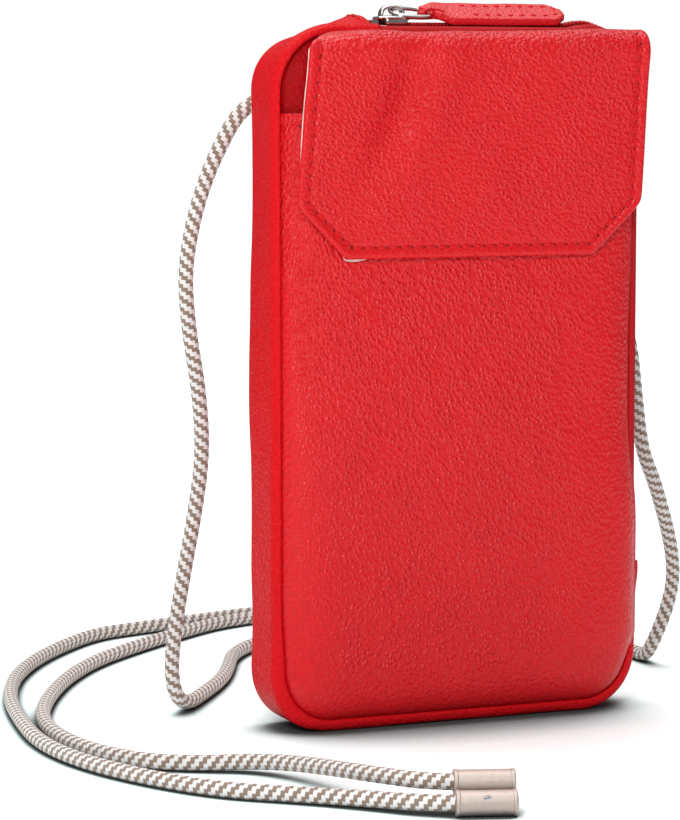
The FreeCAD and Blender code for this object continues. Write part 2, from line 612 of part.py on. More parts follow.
def strap_loop(side):
    """Folded leather loop round the cord, its tail sewn flat on the back panel."""
    x0 = side * LOOP_X - LOOP_WIDTH / 2
    centre = V(x0, LOOP_Y, LOOP_Z)
    ring = Part.makeCylinder(LOOP_OUTER, LOOP_WIDTH, centre, V(1, 0, 0))
    hole = Part.makeCylinder(LOOP_OUTER - LOOP_WALL, LOOP_WIDTH, centre, V(1, 0, 0))
    seam = HALF_DEPTH - RIM_RECESS
    tail_back = LOOP_Y - LOOP_OUTER + 2 * LOOP_WALL
    tail = Part.makeBox(LOOP_WIDTH, tail_back - seam, LOOP_TAIL, V(x0, seam, LOOP_Z - LOOP_TAIL))
    behind = sheet(lambda x, z: back_face(x, z) - LOOP_Y, PANEL_WALL + LOOP_Y, PANEL_INSET)
    return ring.fuse(tail).cut(hole).cut(behind).removeSplitter()


def clamp_axis():
    """Direction along the clamp, and from its lower tube to its upper one."""
    a = math.radians(CLAMP_HEADING)
    t = math.radians(CLAMP_TILT)
    along = V(math.cos(a), math.sin(a), 0)
    across = V(-math.sin(a) * math.cos(t), math.cos(a) * math.cos(t), math.sin(t))
    return along, across


def clamp_ends():
    """Middle of the open end of each tube."""
    along, across = clamp_axis()
    lower = V(CLAMP_X, CLAMP_Y, CLAMP_RADIUS)
    return lower, lower + across * CLAMP_SPACING


def screw_seats(length):
    """A screw body in the wall of each tube: the lower faces forward, the upper back."""
    along, across = clamp_axis()
    rise = math.radians(SCREW_RISE)
    level = V(-along.y, along.x, 0)
    screws = []
    for end, facing in zip(clamp_ends(), (-1, 1)):
        out = level * (facing * math.cos(rise)) + V(0, 0, math.sin(rise))
        foot = end + along * (CLAMP_LENGTH / 2) + out * (CORD_WIDTH / 2 + CLAMP_BORE_GAP + SCREW_GAP)
        screws.append((Part.makeCylinder(SCREW_RADIUS, length, foot, out), foot, out))
    return screws


def clamp_collar(foot, along):
    """A raised ring with rounded edges at one end of a tube."""
    collar = Part.makeCylinder(CLAMP_RADIUS, CLAMP_COLLAR, foot, along)
    rims = [e for e in collar.Edges if len(e.Vertexes) == 1]
    return collar.makeFillet(CLAMP_ROUND, rims)


def cord_clamp():
    """Twin metal barrel: two tubes side by side with collars, each with a blind bore."""
    along, across = clamp_axis()
    body = None
    bores = []
    for end in clamp_ends():
        waist = CLAMP_LENGTH - 2 * CLAMP_ROUND
        tube = Part.makeCylinder(CLAMP_WAIST, waist, end + along * CLAMP_ROUND, along)
        far = end + along * (CLAMP_LENGTH - CLAMP_COLLAR)
        tube = tube.fuse(clamp_collar(end, along)).fuse(clamp_collar(far, along))
        body = tube if body is None else body.fuse(tube)
        bores.append(Part.makeCylinder(CORD_WIDTH / 2 + CLAMP_BORE_GAP, CLAMP_BORE_DEPTH, end, along))
    for bore in bores:
        body = body.cut(bore)
    for seat, foot, out in screw_seats(2 * CLAMP_RADIUS):
        body = body.cut(seat)
    return body.removeSplitter()


def clamp_screws():
    """A slotted grub screw in each tube."""
    along, across = clamp_axis()
    screws = []
    for screw, foot, out in screw_seats(SCREW_LENGTH):
        slot = Part.makeBox(4 * SCREW_RADIUS, SCREW_SLOT, SCREW_SLOT)
        slot.translate(V(-2 * SCREW_RADIUS, -SCREW_SLOT / 2, SCREW_LENGTH - SCREW_SLOT))
        slot.Placement = FreeCAD.Placement(foot, FreeCAD.Rotation(V(0, 0, 1), out)).multiply(slot.Placement)
        screws.append(screw.cut(slot))
    return Part.makeCompound(screws)


def cord_tube(name, points):
    """A round cord along straight runs joined by arcs as large as the runs allow."""
    edges = []
    radii = []
    last = points[0]
    length = 0.0
    for before, corner, after in zip(points, points[1:], points[2:]):
        back = before - corner
        ahead = after - corner
        turn = math.pi - back.getAngle(ahead)
        reach = BEND_SHARE * min(back.Length, ahead.Length)
        back.normalize()
        ahead.normalize()
        radius = reach / math.tan(turn / 2)
        middle = back + ahead
        middle.normalize()
        start = corner + back * reach
        end = corner + ahead * reach
        bow = corner + middle * (radius / math.cos(turn / 2) - radius)
        edges.append(Part.LineSegment(last, start).toShape())
        edges.append(Part.Arc(start, bow, end).toShape())
        radii.append(radius)
        last = end
    edges.append(Part.LineSegment(last, points[-1]).toShape())
    path = Part.Wire(edges)
    section = Part.Wire(Part.makeCircle(CORD_WIDTH / 2, points[0], points[1] - points[0]))
    tube = path.makePipeShell([section], True, False)
    expected = math.pi * CORD_WIDTH ** 2 / 4 * path.Length
    print(name, "length", round(path.Length, 1), "volume ratio", round(tube.Volume / expected, 4))
    print(name, "radii", [round(r, 1) for r in radii])
    return tube


def cord_route(side, route, end):
    """Points of one free stretch: out of its loop, along its route and into the clamp."""
    along, across = clamp_axis()
    exit_point = V(side * (LOOP_X + LOOP_WIDTH / 2), LOOP_Y, LOOP_Z)
    lead_in = end - along * CORD_WIDTH
    stop = end + along * (CLAMP_BORE_DEPTH - CLAMP_BORE_GAP)
    lead_out = exit_point + V(side * EXIT_RUN, 0, 0)
    return [exit_point, lead_out] + [V(*p) for p in route] + [lead_in, stop]


def cord_back():
    """The cord between the outer ends of its two loops, across the back."""
    half = LOOP_X + LOOP_WIDTH / 2
    return Part.makeCylinder(CORD_WIDTH / 2, 2 * half, V(-half, LOOP_Y, LOOP_Z), V(1, 0, 0))


def build():
    """Makes every piece and writes one file for each."""
    lower_end, upper_end = clamp_ends()
    pieces = {
        "side_gusset": side_gusset(),
        "zip_tape_front": zip_tape(-1),
        "zip_tape_back": zip_tape(1),
        "zip_teeth_front": zip_teeth(-1),
        "zip_teeth_back": zip_teeth(1),
        "zip_stops": zip_stops(),
        "zip_end_tab": zip_end_tab(),
        "slider_body": slider_body(),
        "pull_ring": pull_ring(),
        "pull_tab": pull_tab(),
        "front_panel": front_panel(),
        "front_lining": front_lining(),
        "divider_panel": divider_panel(),
        "back_panel": back_panel(),
        "back_lining": back_lining(),
        "flap_outer": flap_outer(),
        "flap_lining": flap_lining(),
        "flap_magnet": flap_magnet_body(MAGNET_RADIUS, MAGNET_WALL),
        "pocket_magnet": pocket_magnet_body(MAGNET_RADIUS, MAGNET_WALL),
        "strap_loop_left": strap_loop(-1),
        "strap_loop_right": strap_loop(1),
        "cord_left": cord_tube("cord_left", cord_route(-1, LEFT_ROUTE, upper_end)),
        "cord_right": cord_tube("cord_right", cord_route(1, RIGHT_ROUTE, lower_end)),
        "cord_back": cord_back(),
        "cord_clamp": cord_clamp(),
        "clamp_screws": clamp_screws(),
    }
    for name, shape in pieces.items():
        shape.exportStep("parts/" + name + ".step")
        print(name, shape.ShapeType, len(shape.Solids), shape.isValid(), round(shape.Volume, 1))


build()
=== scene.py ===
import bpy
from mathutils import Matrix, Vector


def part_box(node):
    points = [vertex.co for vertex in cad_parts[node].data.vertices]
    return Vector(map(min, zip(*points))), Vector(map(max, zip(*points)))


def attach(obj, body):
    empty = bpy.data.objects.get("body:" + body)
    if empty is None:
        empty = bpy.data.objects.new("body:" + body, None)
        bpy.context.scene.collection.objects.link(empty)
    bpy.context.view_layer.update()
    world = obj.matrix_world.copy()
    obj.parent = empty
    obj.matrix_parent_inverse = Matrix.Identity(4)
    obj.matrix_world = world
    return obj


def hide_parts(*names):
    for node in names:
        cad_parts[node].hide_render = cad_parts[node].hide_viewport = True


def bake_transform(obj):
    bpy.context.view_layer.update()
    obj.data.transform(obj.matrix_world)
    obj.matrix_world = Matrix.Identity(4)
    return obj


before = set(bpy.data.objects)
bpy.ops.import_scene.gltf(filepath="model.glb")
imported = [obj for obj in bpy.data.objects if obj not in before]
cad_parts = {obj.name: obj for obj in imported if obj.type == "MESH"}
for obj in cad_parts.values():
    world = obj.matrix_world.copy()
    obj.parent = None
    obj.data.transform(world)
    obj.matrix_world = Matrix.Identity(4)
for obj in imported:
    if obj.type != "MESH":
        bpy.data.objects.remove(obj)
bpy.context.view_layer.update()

from math import atan, copysign, cos, exp, hypot, pi, radians, sin, sqrt

import bmesh
import bpy
import numpy as np
from mathutils import Vector, noise

# A red leather phone pouch with a flap, an L-shaped zip and a braided cord. Metres, in the part's own frame:
# X runs along the front, the front faces -Y and Z is up.

MM = 0.001
X_AXIS, Y_AXIS, Z_AXIS = Vector((1, 0, 0)), Vector((0, 1, 0)), Vector((0, 0, 1))

# Body
body_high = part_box("side_gusset")[1]
HALF_WIDTH = body_high.x
HALF_DEPTH = body_high.y
HEIGHT = body_high.z
TOP_RADIUS = 18.0 * MM
BOTTOM_RADIUS = 16.5 * MM
EDGE_ROLL = 2.8 * MM
EDGE_LIP = 0.5 * MM
GUSSET_WALL = 1.4 * MM
PANEL_WALL = 1.2 * MM
DIVIDER_WALL = 1.0 * MM
LINING_WALL = 0.9 * MM
LINING_INSET = 6.0 * MM
LINING_GAP = 0.1 * MM
GROOVE_INSET = 3.4 * MM
GROOVE_DEPTH = 1.0 * MM
SHOULDER = 1.7 * MM
ROLL_TIGHTEN = 1.1 * MM
STRIP_STEP = 1.0 * MM
RIM_GRAIN = 0.15

# Swelling of the panels
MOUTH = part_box("front_panel")[1].z
MOUTH_SEAM = MOUTH - 3.2 * MM
FRONT_BULGE = 5.2 * MM
FRONT_POWER = 12
FRONT_INSET = 3.2 * MM
RIM_RECESS = 0.25 * MM
MOUTH_LIFT = 3.4 * MM
LIFT_REACH = 46.0 * MM
ZIP_COVER = 1.7 * MM
ZIP_COVER_LIFT = 0.8 * MM
ZIP_DRAW = 0.2 * MM
ZIP_RAISE = 1.4 * MM
DIVIDER_SAG = 6.2 * MM
DIVIDER_POWER = 8
SAG_DROP = 2.0 * MM
SAG_REACH = 34.0 * MM
PILLOW = 2.4 * MM
BACK_BULGE = 2.5 * MM
BACK_POWER = 8

# Zip
tape_low, tape_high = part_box("zip_tape_front")
ZIP_START_X = tape_low.x
ZIP_END_Z = tape_low.z
TAPE_INSET = HEIGHT - tape_high.z
TAPE_WALL = 0.8 * MM
TAPE_SLOT = 0.8 * MM
TOOTH_PITCH = 2.0 * MM
TOOTH_WIDTH = 1.0 * MM
TEETH_END = 3.2 * MM
COIL_WIDTH = 0.78 * MM
COIL_HEIGHT = 1.15 * MM
CHAIN_HALF = 2.6 * MM
TOOTH_REACH = 0.5 * MM
ring_low, ring_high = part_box("pull_ring")
RING_DROOP = 0.35 * MM
RING_ROLL = radians(20)
RING_WIRE = (ring_high.z - ring_low.z) / 2
RING_END_X = ring_high.x - RING_WIRE
RING_END_Z = (ring_high.z + ring_low.z) / 2 - RING_DROOP
PULL_TILT = radians(29)

# Flap
flap_low, flap_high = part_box("flap_outer")
FLAP_HALF = flap_high.x
FLAP_EDGE_Z = flap_low.z
FLAP_TOP = flap_high.z
FLAP_WALL = 1.2 * MM
FLAP_LINING = 0.6 * MM
FLAP_FOLD = 5.4 * MM
FLAP_CHAMFER = 13.4 * MM
FLAP_SOFTNESS = 1.2 * MM
FLAP_EDGE_CLEAR = 0.4 * MM
FLAP_MOUTH_CLEAR = 0.5 * MM
FLAP_ROOT_Y = -9.1 * MM
FLAP_ROOT_HALF = 37.0 * MM
FLAP_SHOULDER_REACH = 16.0 * MM
FLAP_RIGHT_REACH = 9.0 * MM
FLAP_SHOULDER_POWER = 1.6
FLAP_LEFT_DRAW = 2.0 * MM
FLAP_LEFT_SPREAD = 1.0 * MM

# Stitching
STITCH_PITCH = 3.4 * MM
STITCH_LENGTH = 2.6 * MM
STITCH_RADIUS = 0.5 * MM
STITCH_INSET = 2.9 * MM
HOLE_LENGTH = 0.95 * MM
HOLE_WIDTH = 0.5 * MM
HOLE_SLANT = radians(40)
HOLE_RINGS = ((0.2, 0.12 * MM), (0.7, 0.1 * MM), (1.0, -0.25 * MM))

# Cord
CORD_WIDTH = 4.0 * MM
CORD_SIDES = 32
CORD_STEP = 0.35 * MM
BRAID_CELL = 0.76 * MM
BRAID_CELLS_ROUND = 12
BRAID_RELIEF = 0.1 * MM


# Small functions

def clamp(value):
    """The value, held between 0 and 1."""
    return min(1.0, max(0.0, value))


def smooth_step(value, start, end):
    """Rises smoothly from 0 to 1 between two values."""
    t = clamp((value - start) / (end - start))
    return t * t * (3 - 2 * t)


def bell(value, middle, width):
    """A smooth bump round a middle value."""
    return exp(-((value - middle) / width) ** 2)


def ripple(x, y, z, size, height):
    """Slow unevenness of soft leather."""
    return height * noise.noise(Vector((x / size, y / size, z / size)))


def signed_power(value, power):
    """A power of the value's size, with the value's sign."""
    return copysign(abs(value) ** power, value)


def circle(count):
    """Cosines and sines of even steps round a circle."""
    turns = [2 * pi * k / count for k in range(count)]
    return [(cos(a), sin(a)) for a in turns]


# Materials

def feed(socket, value):
    """Links another node's output to an input, or sets a plain value."""
    if isinstance(value, bpy.types.NodeSocket):
        socket.id_data.links.new(value, socket)
    else:
        socket.default_value = value


def fill(node, **settings):
    """Feeds a node's inputs by name, with _ for a space, and sets its properties."""
    for key, value in settings.items():
        socket = node.inputs.get(key.replace("_", " "))
        if socket is None:
            setattr(node, key, value)
        else:
            feed(socket, value)
    return node


def add(tree, kind, **settings):
    """A new shader node, filled in."""
    return fill(tree.nodes.new("ShaderNode" + kind), **settings)


def new_material(name, **settings):
    """A new material, its node tree and its main shader, filled in."""
    material = bpy.data.materials.new(name)
    material.use_nodes = True
    tree = material.node_tree
    return material, tree, fill(tree.nodes["Principled BSDF"], **settings)


def calc(operation, *values, kind="Math"):
    """A math node's result. Its first value is a node's output, and its second may be a plain value."""
    node = add(values[0].id_data, kind, operation=operation)
    for socket, value in zip(node.inputs, values):
        feed(socket, value)
    return node.outputs[0]


def ramp(factor, *stops):
    """A colour ramp from (place, colour) stops."""
    node = add(factor.id_data, "ValToRGB", Fac=factor)
    elements = node.color_ramp.elements
    elements[0].position = stops[0][0]
    elements[1].position = stops[-1][0]
    for place, colour in stops[1:-1]:
        elements.new(place)
    for element, (place, colour) in zip(elements, stops):
        element.color = (*colour, 1.0)
    return node.outputs["Color"]


def shade_and_tone(pattern, low, share, high, colour):
    """A colour that darkens to a share of itself where a pattern falls from high to low. It paints shade into the
    hollows of leather grain, weave and thread twist, and gives metal and nylon their own uneven tone.
    """
    return ramp(pattern, (low, [c * share for c in colour]), (high, colour))


def spread(value, low, high, start, end, kind="LINEAR"):
    """A value mapped from one range to another, held at its ends."""
    node = add(value.id_data, "MapRange", interpolation_type=kind, Value=value,
               From_Min=low, From_Max=high, To_Min=start, To_Max=end)
    return node.outputs["Result"]


def bump(shader, height, distance):
    """Surface relief on a shader, of a real height in metres."""
    relief = add(shader.id_data, "Bump", Height=height, Strength=1.0, Distance=distance)
    fill(shader, Normal=relief.outputs["Normal"])


def object_place(tree, stretch=None):
    """Object coordinates, stretched if asked."""
    place = add(tree, "TexCoord").outputs["Object"]
    return add(tree, "Mapping", Vector=place, Scale=stretch).outputs["Vector"] if stretch else place


def clouds(place, scale, detail):
    """The outputs of a noise texture."""
    return add(place.id_data, "TexNoise", Vector=place, Scale=scale, Detail=detail).outputs


def ribs(place, direction, scale, distortion):
    """A wave texture's value."""
    return add(place.id_data, "TexWave", Vector=place, bands_direction=direction, Scale=scale,
               Distortion=distortion).outputs["Fac"]


def map_parts(tree, name):
    """The two parts of one of the mesh's own maps."""
    place = add(tree, "UVMap", uv_map=name).outputs["UV"]
    return add(tree, "SeparateXYZ", Vector=place).outputs


def warped(place, wander, size):
    """Coordinates bent a little, so that a grain isn't regular."""
    bend = calc("SUBTRACT", clouds(place, 1 / size, 2.0)["Color"], (0.5, 0.5, 0.5), kind="VectorMath")
    bend = calc("MULTIPLY", bend, (wander, wander, wander), kind="VectorMath")
    return calc("ADD", place, bend, kind="VectorMath")


def leather(name, colour, pebble, depth, stretch=(1, 1, 1), roughness=(0.22, 0.36), shine=0.24, calm=False):
    """Pebbled leather: domed grains with glints. calm reads the piece's map of where the grain fades."""
    material, tree, shader = new_material(name, Specular_IOR_Level=shine)
    place = warped(object_place(tree, stretch), 0.5 * pebble, 2.2 * pebble)
    grain = add(tree, "TexVoronoi", Vector=place, feature="F1", Scale=1 / pebble)
    domes = spread(grain.outputs["Distance"], 0.0, 0.8, 1.0, 0.0, "SMOOTHSTEP")
    lift = spread(clouds(place, 1 / (12 * pebble), 3.0)["Fac"], 0.3, 0.7, 0.6, 1.0)
    if calm:
        lift = calc("MULTIPLY", lift, map_parts(tree, "Calm")["X"])
    fine = calc("MULTIPLY", clouds(place, 2.4 / pebble, 2.0)["Fac"], 0.25)
    # Painted shade: the base colour darkens in the creases between the domes.
    fill(shader, Base_Color=shade_and_tone(domes, 0.0, 0.88, 0.5, colour),
         Roughness=spread(domes, 0.2, 1.0, roughness[1], roughness[0]))
    bump(shader, calc("MULTIPLY", calc("ADD", domes, fine), lift), depth)
    return material, "leather_red"


def woven(name, colour, pitch, depth):
    """Plain woven cloth: two sets of fine ribs that cross."""
    material, tree, shader = new_material(name, Roughness=0.75, Specular_IOR_Level=0.15)
    place = object_place(tree)
    cloth = calc("MULTIPLY", *(ribs(place, direction, 0.314 / pitch, 0.4) for direction in ("X", "Z")))
    # Painted shade: the colour darkens in the hollows between the ribs.
    fill(shader, Base_Color=shade_and_tone(cloth, 0.0, 0.6, 0.6, colour))
    bump(shader, cloth, depth)
    return material


def thread(name, colour):
    """Twisted sewing thread."""
    material, tree, shader = new_material(name, Roughness=0.55, Specular_IOR_Level=0.15)
    twist = ribs(object_place(tree), "DIAGONAL", 900.0, 0.5)
    # Painted shade: the colour darkens in the grooves of the twist.
    fill(shader, Base_Color=shade_and_tone(twist, 0.1, 0.65, 0.8, colour))
    bump(shader, twist, 0.05 * MM)
    return material


def metal(name, colour, roughness, stretch, grain):
    """Plated metal with faint polishing marks along one direction."""
    material, tree, shader = new_material(name, Metallic=1.0)
    marks = clouds(object_place(tree, stretch), grain, 4.0)["Fac"]
    fill(shader, Base_Color=shade_and_tone(marks, 0.3, 0.92, 0.6, colour),
         Roughness=spread(marks, 0.3, 0.7, roughness * 0.85, roughness * 1.2))
    bump(shader, marks, 0.001 * MM)
    return material


def moulded(name, colour, roughness):
    """Moulded nylon with slight unevenness. In a dark colour it also fills the needle holes as painted shade."""
    material, tree, shader = new_material(name, Roughness=roughness, Specular_IOR_Level=0.25)
    uneven = clouds(object_place(tree), 700.0, 2.0)["Fac"]
    fill(shader, Base_Color=shade_and_tone(uneven, 0.35, 0.8, 0.65, colour))
    bump(shader, uneven, 0.02 * MM)
    return material


def braid(name, pale, dark):
    """Two-colour braid: slanting toothed bands round the cord, on fine yarns. It reads the cord's map."""
    material, tree, shader = new_material(name, Roughness=0.8, Sheen_Weight=0.2)
    parts = map_parts(tree, "Braid")
    along, around = parts["X"], parts["Y"]
    left = calc("MULTIPLY", calc("SUBTRACT", along, around), pi)
    right = calc("MULTIPLY", calc("ADD", along, around), pi)
    steep = calc("MULTIPLY", calc("SUBTRACT", along, calc("MULTIPLY", around, 2 / 3)), pi)
    band = calc("COSINE", calc("MULTIPLY", right, 0.5))
    teeth = calc("MULTIPLY", calc("COSINE", steep), 0.65)
    yarn, other = (calc("COSINE", calc("MULTIPLY", slant, 4.0)) for slant in (left, right))
    ragged = calc("ADD", calc("ADD", band, teeth), calc("MULTIPLY", yarn, 0.12))
    fill(shader, Base_Color=ramp(spread(ragged, -0.08, 0.1, 0.0, 1.0), (0.0, pale), (1.0, dark)))
    bump(shader, calc("ADD", calc("MULTIPLY", yarn, 0.5), calc("MULTIPLY", other, 0.5)), 0.06 * MM)
    return material


# Looks: a material and the name of a slot, which the pieces don't use
RED = (0.57, 0.006, 0.01)
FRONT_LEATHER = leather("front_leather", RED, 1.1 * MM, 0.5 * MM, stretch=(1.2, 1, 0.85), calm=True)
FLAP_LEATHER = leather("flap_leather", RED, 1.0 * MM, 0.44 * MM, calm=True)
PULL_LEATHER = leather("pull_leather", (0.6, 0.012, 0.018), 1.0 * MM, 0.16 * MM)
TRIM_LEATHER = leather("trim_leather", RED, 1.0 * MM, 0.2 * MM, roughness=(0.34, 0.48), shine=0.05)
# Painted shade: the divider's leather is a darker copy of the red, for the shade it lies in under the flap.
SMOOTH_SHADED_LEATHER = leather("smooth_leather_painted_shade", (0.35, 0.002, 0.004), 1.0 * MM, 0.16 * MM,
                         roughness=(0.4, 0.5), shine=0.05)
TAPE_CLOTH = (woven("tape_cloth", (0.5, 0.007, 0.011), 0.5 * MM, 0.06 * MM), "zip_tape")
LINING_CLOTH = (woven("lining_cloth", (0.34, 0.008, 0.012), 0.6 * MM, 0.04 * MM), "lining_fabric")
FLAP_LINING_CLOTH = (woven("flap_lining_cloth", (0.78, 0.62, 0.56), 0.5 * MM, 0.03 * MM), "flap_lining")
RED_THREAD = (thread("red_thread", (0.62, 0.008, 0.012)), "leather_red")
# Painted shade: a dark fill sunk in each needle hole stands in for its shadow.
HOLE_SHADE = (moulded("needle_hole_shade", (0.24, 0.003, 0.005), 0.8), "leather_red")
ZIP_NYLON = (moulded("zip_nylon", (0.42, 0.008, 0.012), 0.4), "zip_teeth")
CORD_BRAID = (braid("cord_braid", (0.7, 0.68, 0.67), (0.23, 0.16, 0.115)), "cord_braid")
NICKEL = metal("nickel", (0.62, 0.61, 0.59), 0.2, (1, 1, 1), 400.0)
ZIP_METAL = (NICKEL, "zip_metal")
ROSE_METAL = metal("rose_metal", (0.48, 0.405, 0.366), 0.6, (0.15, 1, 1), 2500.0)
STEEL = metal("steel", (0.45, 0.44, 0.44), 0.32, (1, 1, 1), 600.0)


# Meshes

def put(name, data):
    """A new object in the scene."""
    thing = bpy.data.objects.new(name, data)
    bpy.context.scene.collection.objects.link(thing)
    return thing


def mesh_object(name, vertices, faces, material):
    """A new mesh object in the scene."""
    mesh = bpy.data.meshes.new(name)
    mesh.from_pydata([tuple(v) for v in vertices], [], faces)
    mesh.materials.append(material)
    return put(name, mesh)


def piece(name, vertices, faces, look, body=None, node=None):
    """A smooth mesh with outward faces. It rides on a body, and may take the place of a node."""
    material, slot = look
    thing = mesh_object(name, vertices, faces, material)
    work = bmesh.new()
    work.from_mesh(thing.data)
    bmesh.ops.recalc_face_normals(work, faces=work.faces)
    work.to_mesh(thing.data)
    work.free()
    thing.data.polygons.foreach_set("use_smooth", [True] * len(faces))
    if node:
        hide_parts(node)
    if body:
        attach(thing, body)
    return thing


def shell(name, points, inward, wall, look, body=None, node=None, rim_steps=4, rim_power=1.0):
    """A closed skin on a grid of points, with a round rim. inward points into it: one direction or a grid."""
    points = np.array(points, float)
    inward = np.broadcast_to(np.array(inward, float), points.shape)
    rows, columns = points.shape[:2]
    loop = [(0, j) for j in range(columns)] + [(i, columns - 1) for i in range(1, rows)]
    loop += [(rows - 1, j) for j in range(columns - 2, -1, -1)] + [(i, 0) for i in range(rows - 2, 0, -1)]
    edge = np.array([points[spot] for spot in loop])
    sunk = np.array([inward[spot] for spot in loop])
    along = np.roll(edge, -1, axis=0) - np.roll(edge, 1, axis=0)
    out = np.cross(along, sunk)
    out /= np.linalg.norm(out, axis=1)[:, None]
    if ((edge - points.mean(axis=(0, 1))) * out).sum() < 0:
        out = -out
    vertices = [points.reshape(-1, 3), (points + inward * wall).reshape(-1, 3)]
    half = wall / 2
    for step in range(1, rim_steps):
        turn = pi * step / rim_steps
        sink = signed_power(cos(turn), rim_power)
        vertices.append(edge + sunk * (half - half * sink) + out * (half * sin(turn) ** rim_power))
    faces = []
    count = rows * columns
    for i in range(rows - 1):
        for j in range(columns - 1):
            a = i * columns + j
            quad = (a, a + 1, a + columns + 1, a + columns)
            faces.append(quad)
            faces.append(tuple(count + k for k in reversed(quad)))
    rings = [[i * columns + j for i, j in loop]]
    for step in range(rim_steps - 1):
        start = 2 * count + step * len(loop)
        rings.append(list(range(start, start + len(loop))))
    rings.append([count + k for k in rings[0]])
    for ring, after in zip(rings, rings[1:]):
        for k in range(len(loop)):
            n = (k + 1) % len(loop)
            faces.append((ring[k], ring[n], after[n], after[k]))
    return piece(name, np.concatenate(vertices), faces, look, body, node)


def map_calm(thing, values):
    """A map on a shell's outer face of how strong its grain is. Its rim and its inner face stay smooth."""
    outer = np.ravel(values)
    corners = np.empty(len(thing.data.loops), dtype=np.int64)
    thing.data.loops.foreach_get("vertex_index", corners)
    strength = np.where(corners < len(outer), outer[np.minimum(corners, len(outer) - 1)], RIM_GRAIN)
    layer = thing.data.uv_layers.new(name="Calm")
    layer.data.foreach_set("uv", np.column_stack([strength, np.zeros_like(strength)]).ravel())


def tube_faces(rings, sides):
    """Faces of a closed tube of rings, with both ends capped."""
    faces = []
    for i in range(rings - 1):
        for k in range(sides):
            n = (k + 1) % sides
            faces.append((i * sides + k, i * sides + n, (i + 1) * sides + n, (i + 1) * sides + k))
    faces.append(tuple(range(sides)))
    faces.append(tuple((rings - 1) * sides + k for k in range(sides)))
    return faces


def add_tube(vertices, faces, rings):
    """Adds a closed tube, from rings of points, to the lists of a mesh."""
    start = len(vertices)
    for ring in rings:
        vertices += ring
    faces += [tuple(start + k for k in face) for face in tube_faces(len(rings), len(rings[0]))]


def bar(name, path, across, wide, thick, look, body, node=None, closed=False, square=1.0):
    """A rounded bar along a path. across is the direction of its width."""
    steps = [[signed_power(value, square) for value in step] for step in circle(16)]
    sides, count = len(steps), len(path)
    vertices = []
    for i, centre in enumerate(path):
        before = path[i - 1] if closed else path[max(i - 1, 0)]
        after = path[(i + 1) % count] if closed else path[min(i + 1, count - 1)]
        up = (after - before).normalized().cross(across).normalized()
        vertices += [centre + across * (wide * c) + up * (thick * s) for c, s in steps]
    faces = tube_faces(count, sides)
    if closed:
        last = (count - 1) * sides
        faces = faces[:-2] + [(last + k, last + (k + 1) % sides, (k + 1) % sides, k) for k in range(sides)]
    return piece(name, vertices, faces, look, body, node)


def strap(name, path, across, half, columns, wall, look, body, node=None):
    """A strap of even width along a path of (place, outward direction) pairs."""
    spots = np.linspace(-half, half, columns)
    points = [[place + across * spot for spot in spots] for place, out in path]
    return shell(name, points, [[-out] for place, out in path], wall, look, body, node)


# Stitches

def stitch_row(name, spots, body):
    """Sewn stitches with slanting needle holes. spots are (place, along, outward) for each stitch."""
    steps = circle(8)
    threads, holes = ([], []), ([], [])
    for place, along, outward in spots:
        across = along.cross(outward).normalized()
        rings = []
        for t in np.linspace(-1, 1, 7):
            radius = STITCH_RADIUS * sqrt(max(0.02, 1 - abs(t) ** 3))
            rise = STITCH_RADIUS * (0.1 - 0.7 * t * t)
            centre = place + along * (t * STITCH_LENGTH / 2) + outward * rise
            rings.append([centre + across * (radius * c) + outward * (radius * s) for c, s in steps])
        add_tube(*threads, rings)
        hole = place + along * (STITCH_PITCH / 2)
        long = along * cos(HOLE_SLANT) + across * sin(HOLE_SLANT)
        wide = across * cos(HOLE_SLANT) - along * sin(HOLE_SLANT)
        rim = [long * (HOLE_LENGTH * c) + wide * (HOLE_WIDTH * s) for c, s in steps]
        add_tube(*holes, [[hole + side * reach + outward * lift for side in rim] for reach, lift in HOLE_RINGS])
    piece(name + "_thread", *threads, RED_THREAD, body)
    piece(name + "_holes", *holes, HOLE_SHADE, body)


def spaced(points, pitch):
    """Places at an even pitch along a path, each with its direction."""
    path = [Vector(p) for p in points]
    lengths = [0.0]
    for a, b in zip(path, path[1:]):
        lengths.append(lengths[-1] + (b - a).length)
    count = max(2, round(lengths[-1] / pitch))
    found = []
    for i in range(count):
        s = lengths[-1] * (i + 0.5) / count
        k = max(j for j in range(len(path) - 1) if lengths[j] <= s)
        t = (s - lengths[k]) / (lengths[k + 1] - lengths[k])
        found.append((path[k].lerp(path[k + 1], t), (path[k + 1] - path[k]).normalized()))
    return found


# Body outline

def half_width(z, inset):
    """Half the body's width at a height, inside an inset outline."""
    bottom = BOTTOM_RADIUS - inset
    top = TOP_RADIUS - inset
    half = HALF_WIDTH - inset
    below = inset + bottom - z
    above = z - (HEIGHT - inset - top)
    if below > 0:
        return half - bottom + sqrt(max(0.0, bottom ** 2 - below ** 2))
    if above > 0:
        return half - top + sqrt(max(0.0, top ** 2 - above ** 2))
    return half


def edge_distance(x, z, inset):
    """How far inside an inset outline a place is."""
    lower = z < HEIGHT / 2
    radius = (BOTTOM_RADIUS if lower else TOP_RADIUS) - inset
    side = abs(x) - (HALF_WIDTH - inset - radius)
    end = inset + radius - z if lower else z - (HEIGHT - inset - radius)
    outside = hypot(max(side, 0.0), max(end, 0.0))
    return radius - outside - min(max(side, end), 0.0)


def row_heights(inset, top, step, corner_rows=16):
    """Heights of a panel's rows, closer together where the outline turns. No top means the whole body."""
    turns = [1 - cos(pi / 2 * i / corner_rows) for i in range(corner_rows + 1)]
    heights = [inset + (BOTTOM_RADIUS - inset) * t for t in turns]
    start = heights[-1]
    straight = HEIGHT - TOP_RADIUS if top is None else top
    count = max(2, round((straight - start) / step))
    heights += [start + (straight - start) * i / count for i in range(1, count + 1)]
    if top is None:
        heights += [HEIGHT - inset - (TOP_RADIUS - inset) * t for t in reversed(turns[:-1])]
    return heights


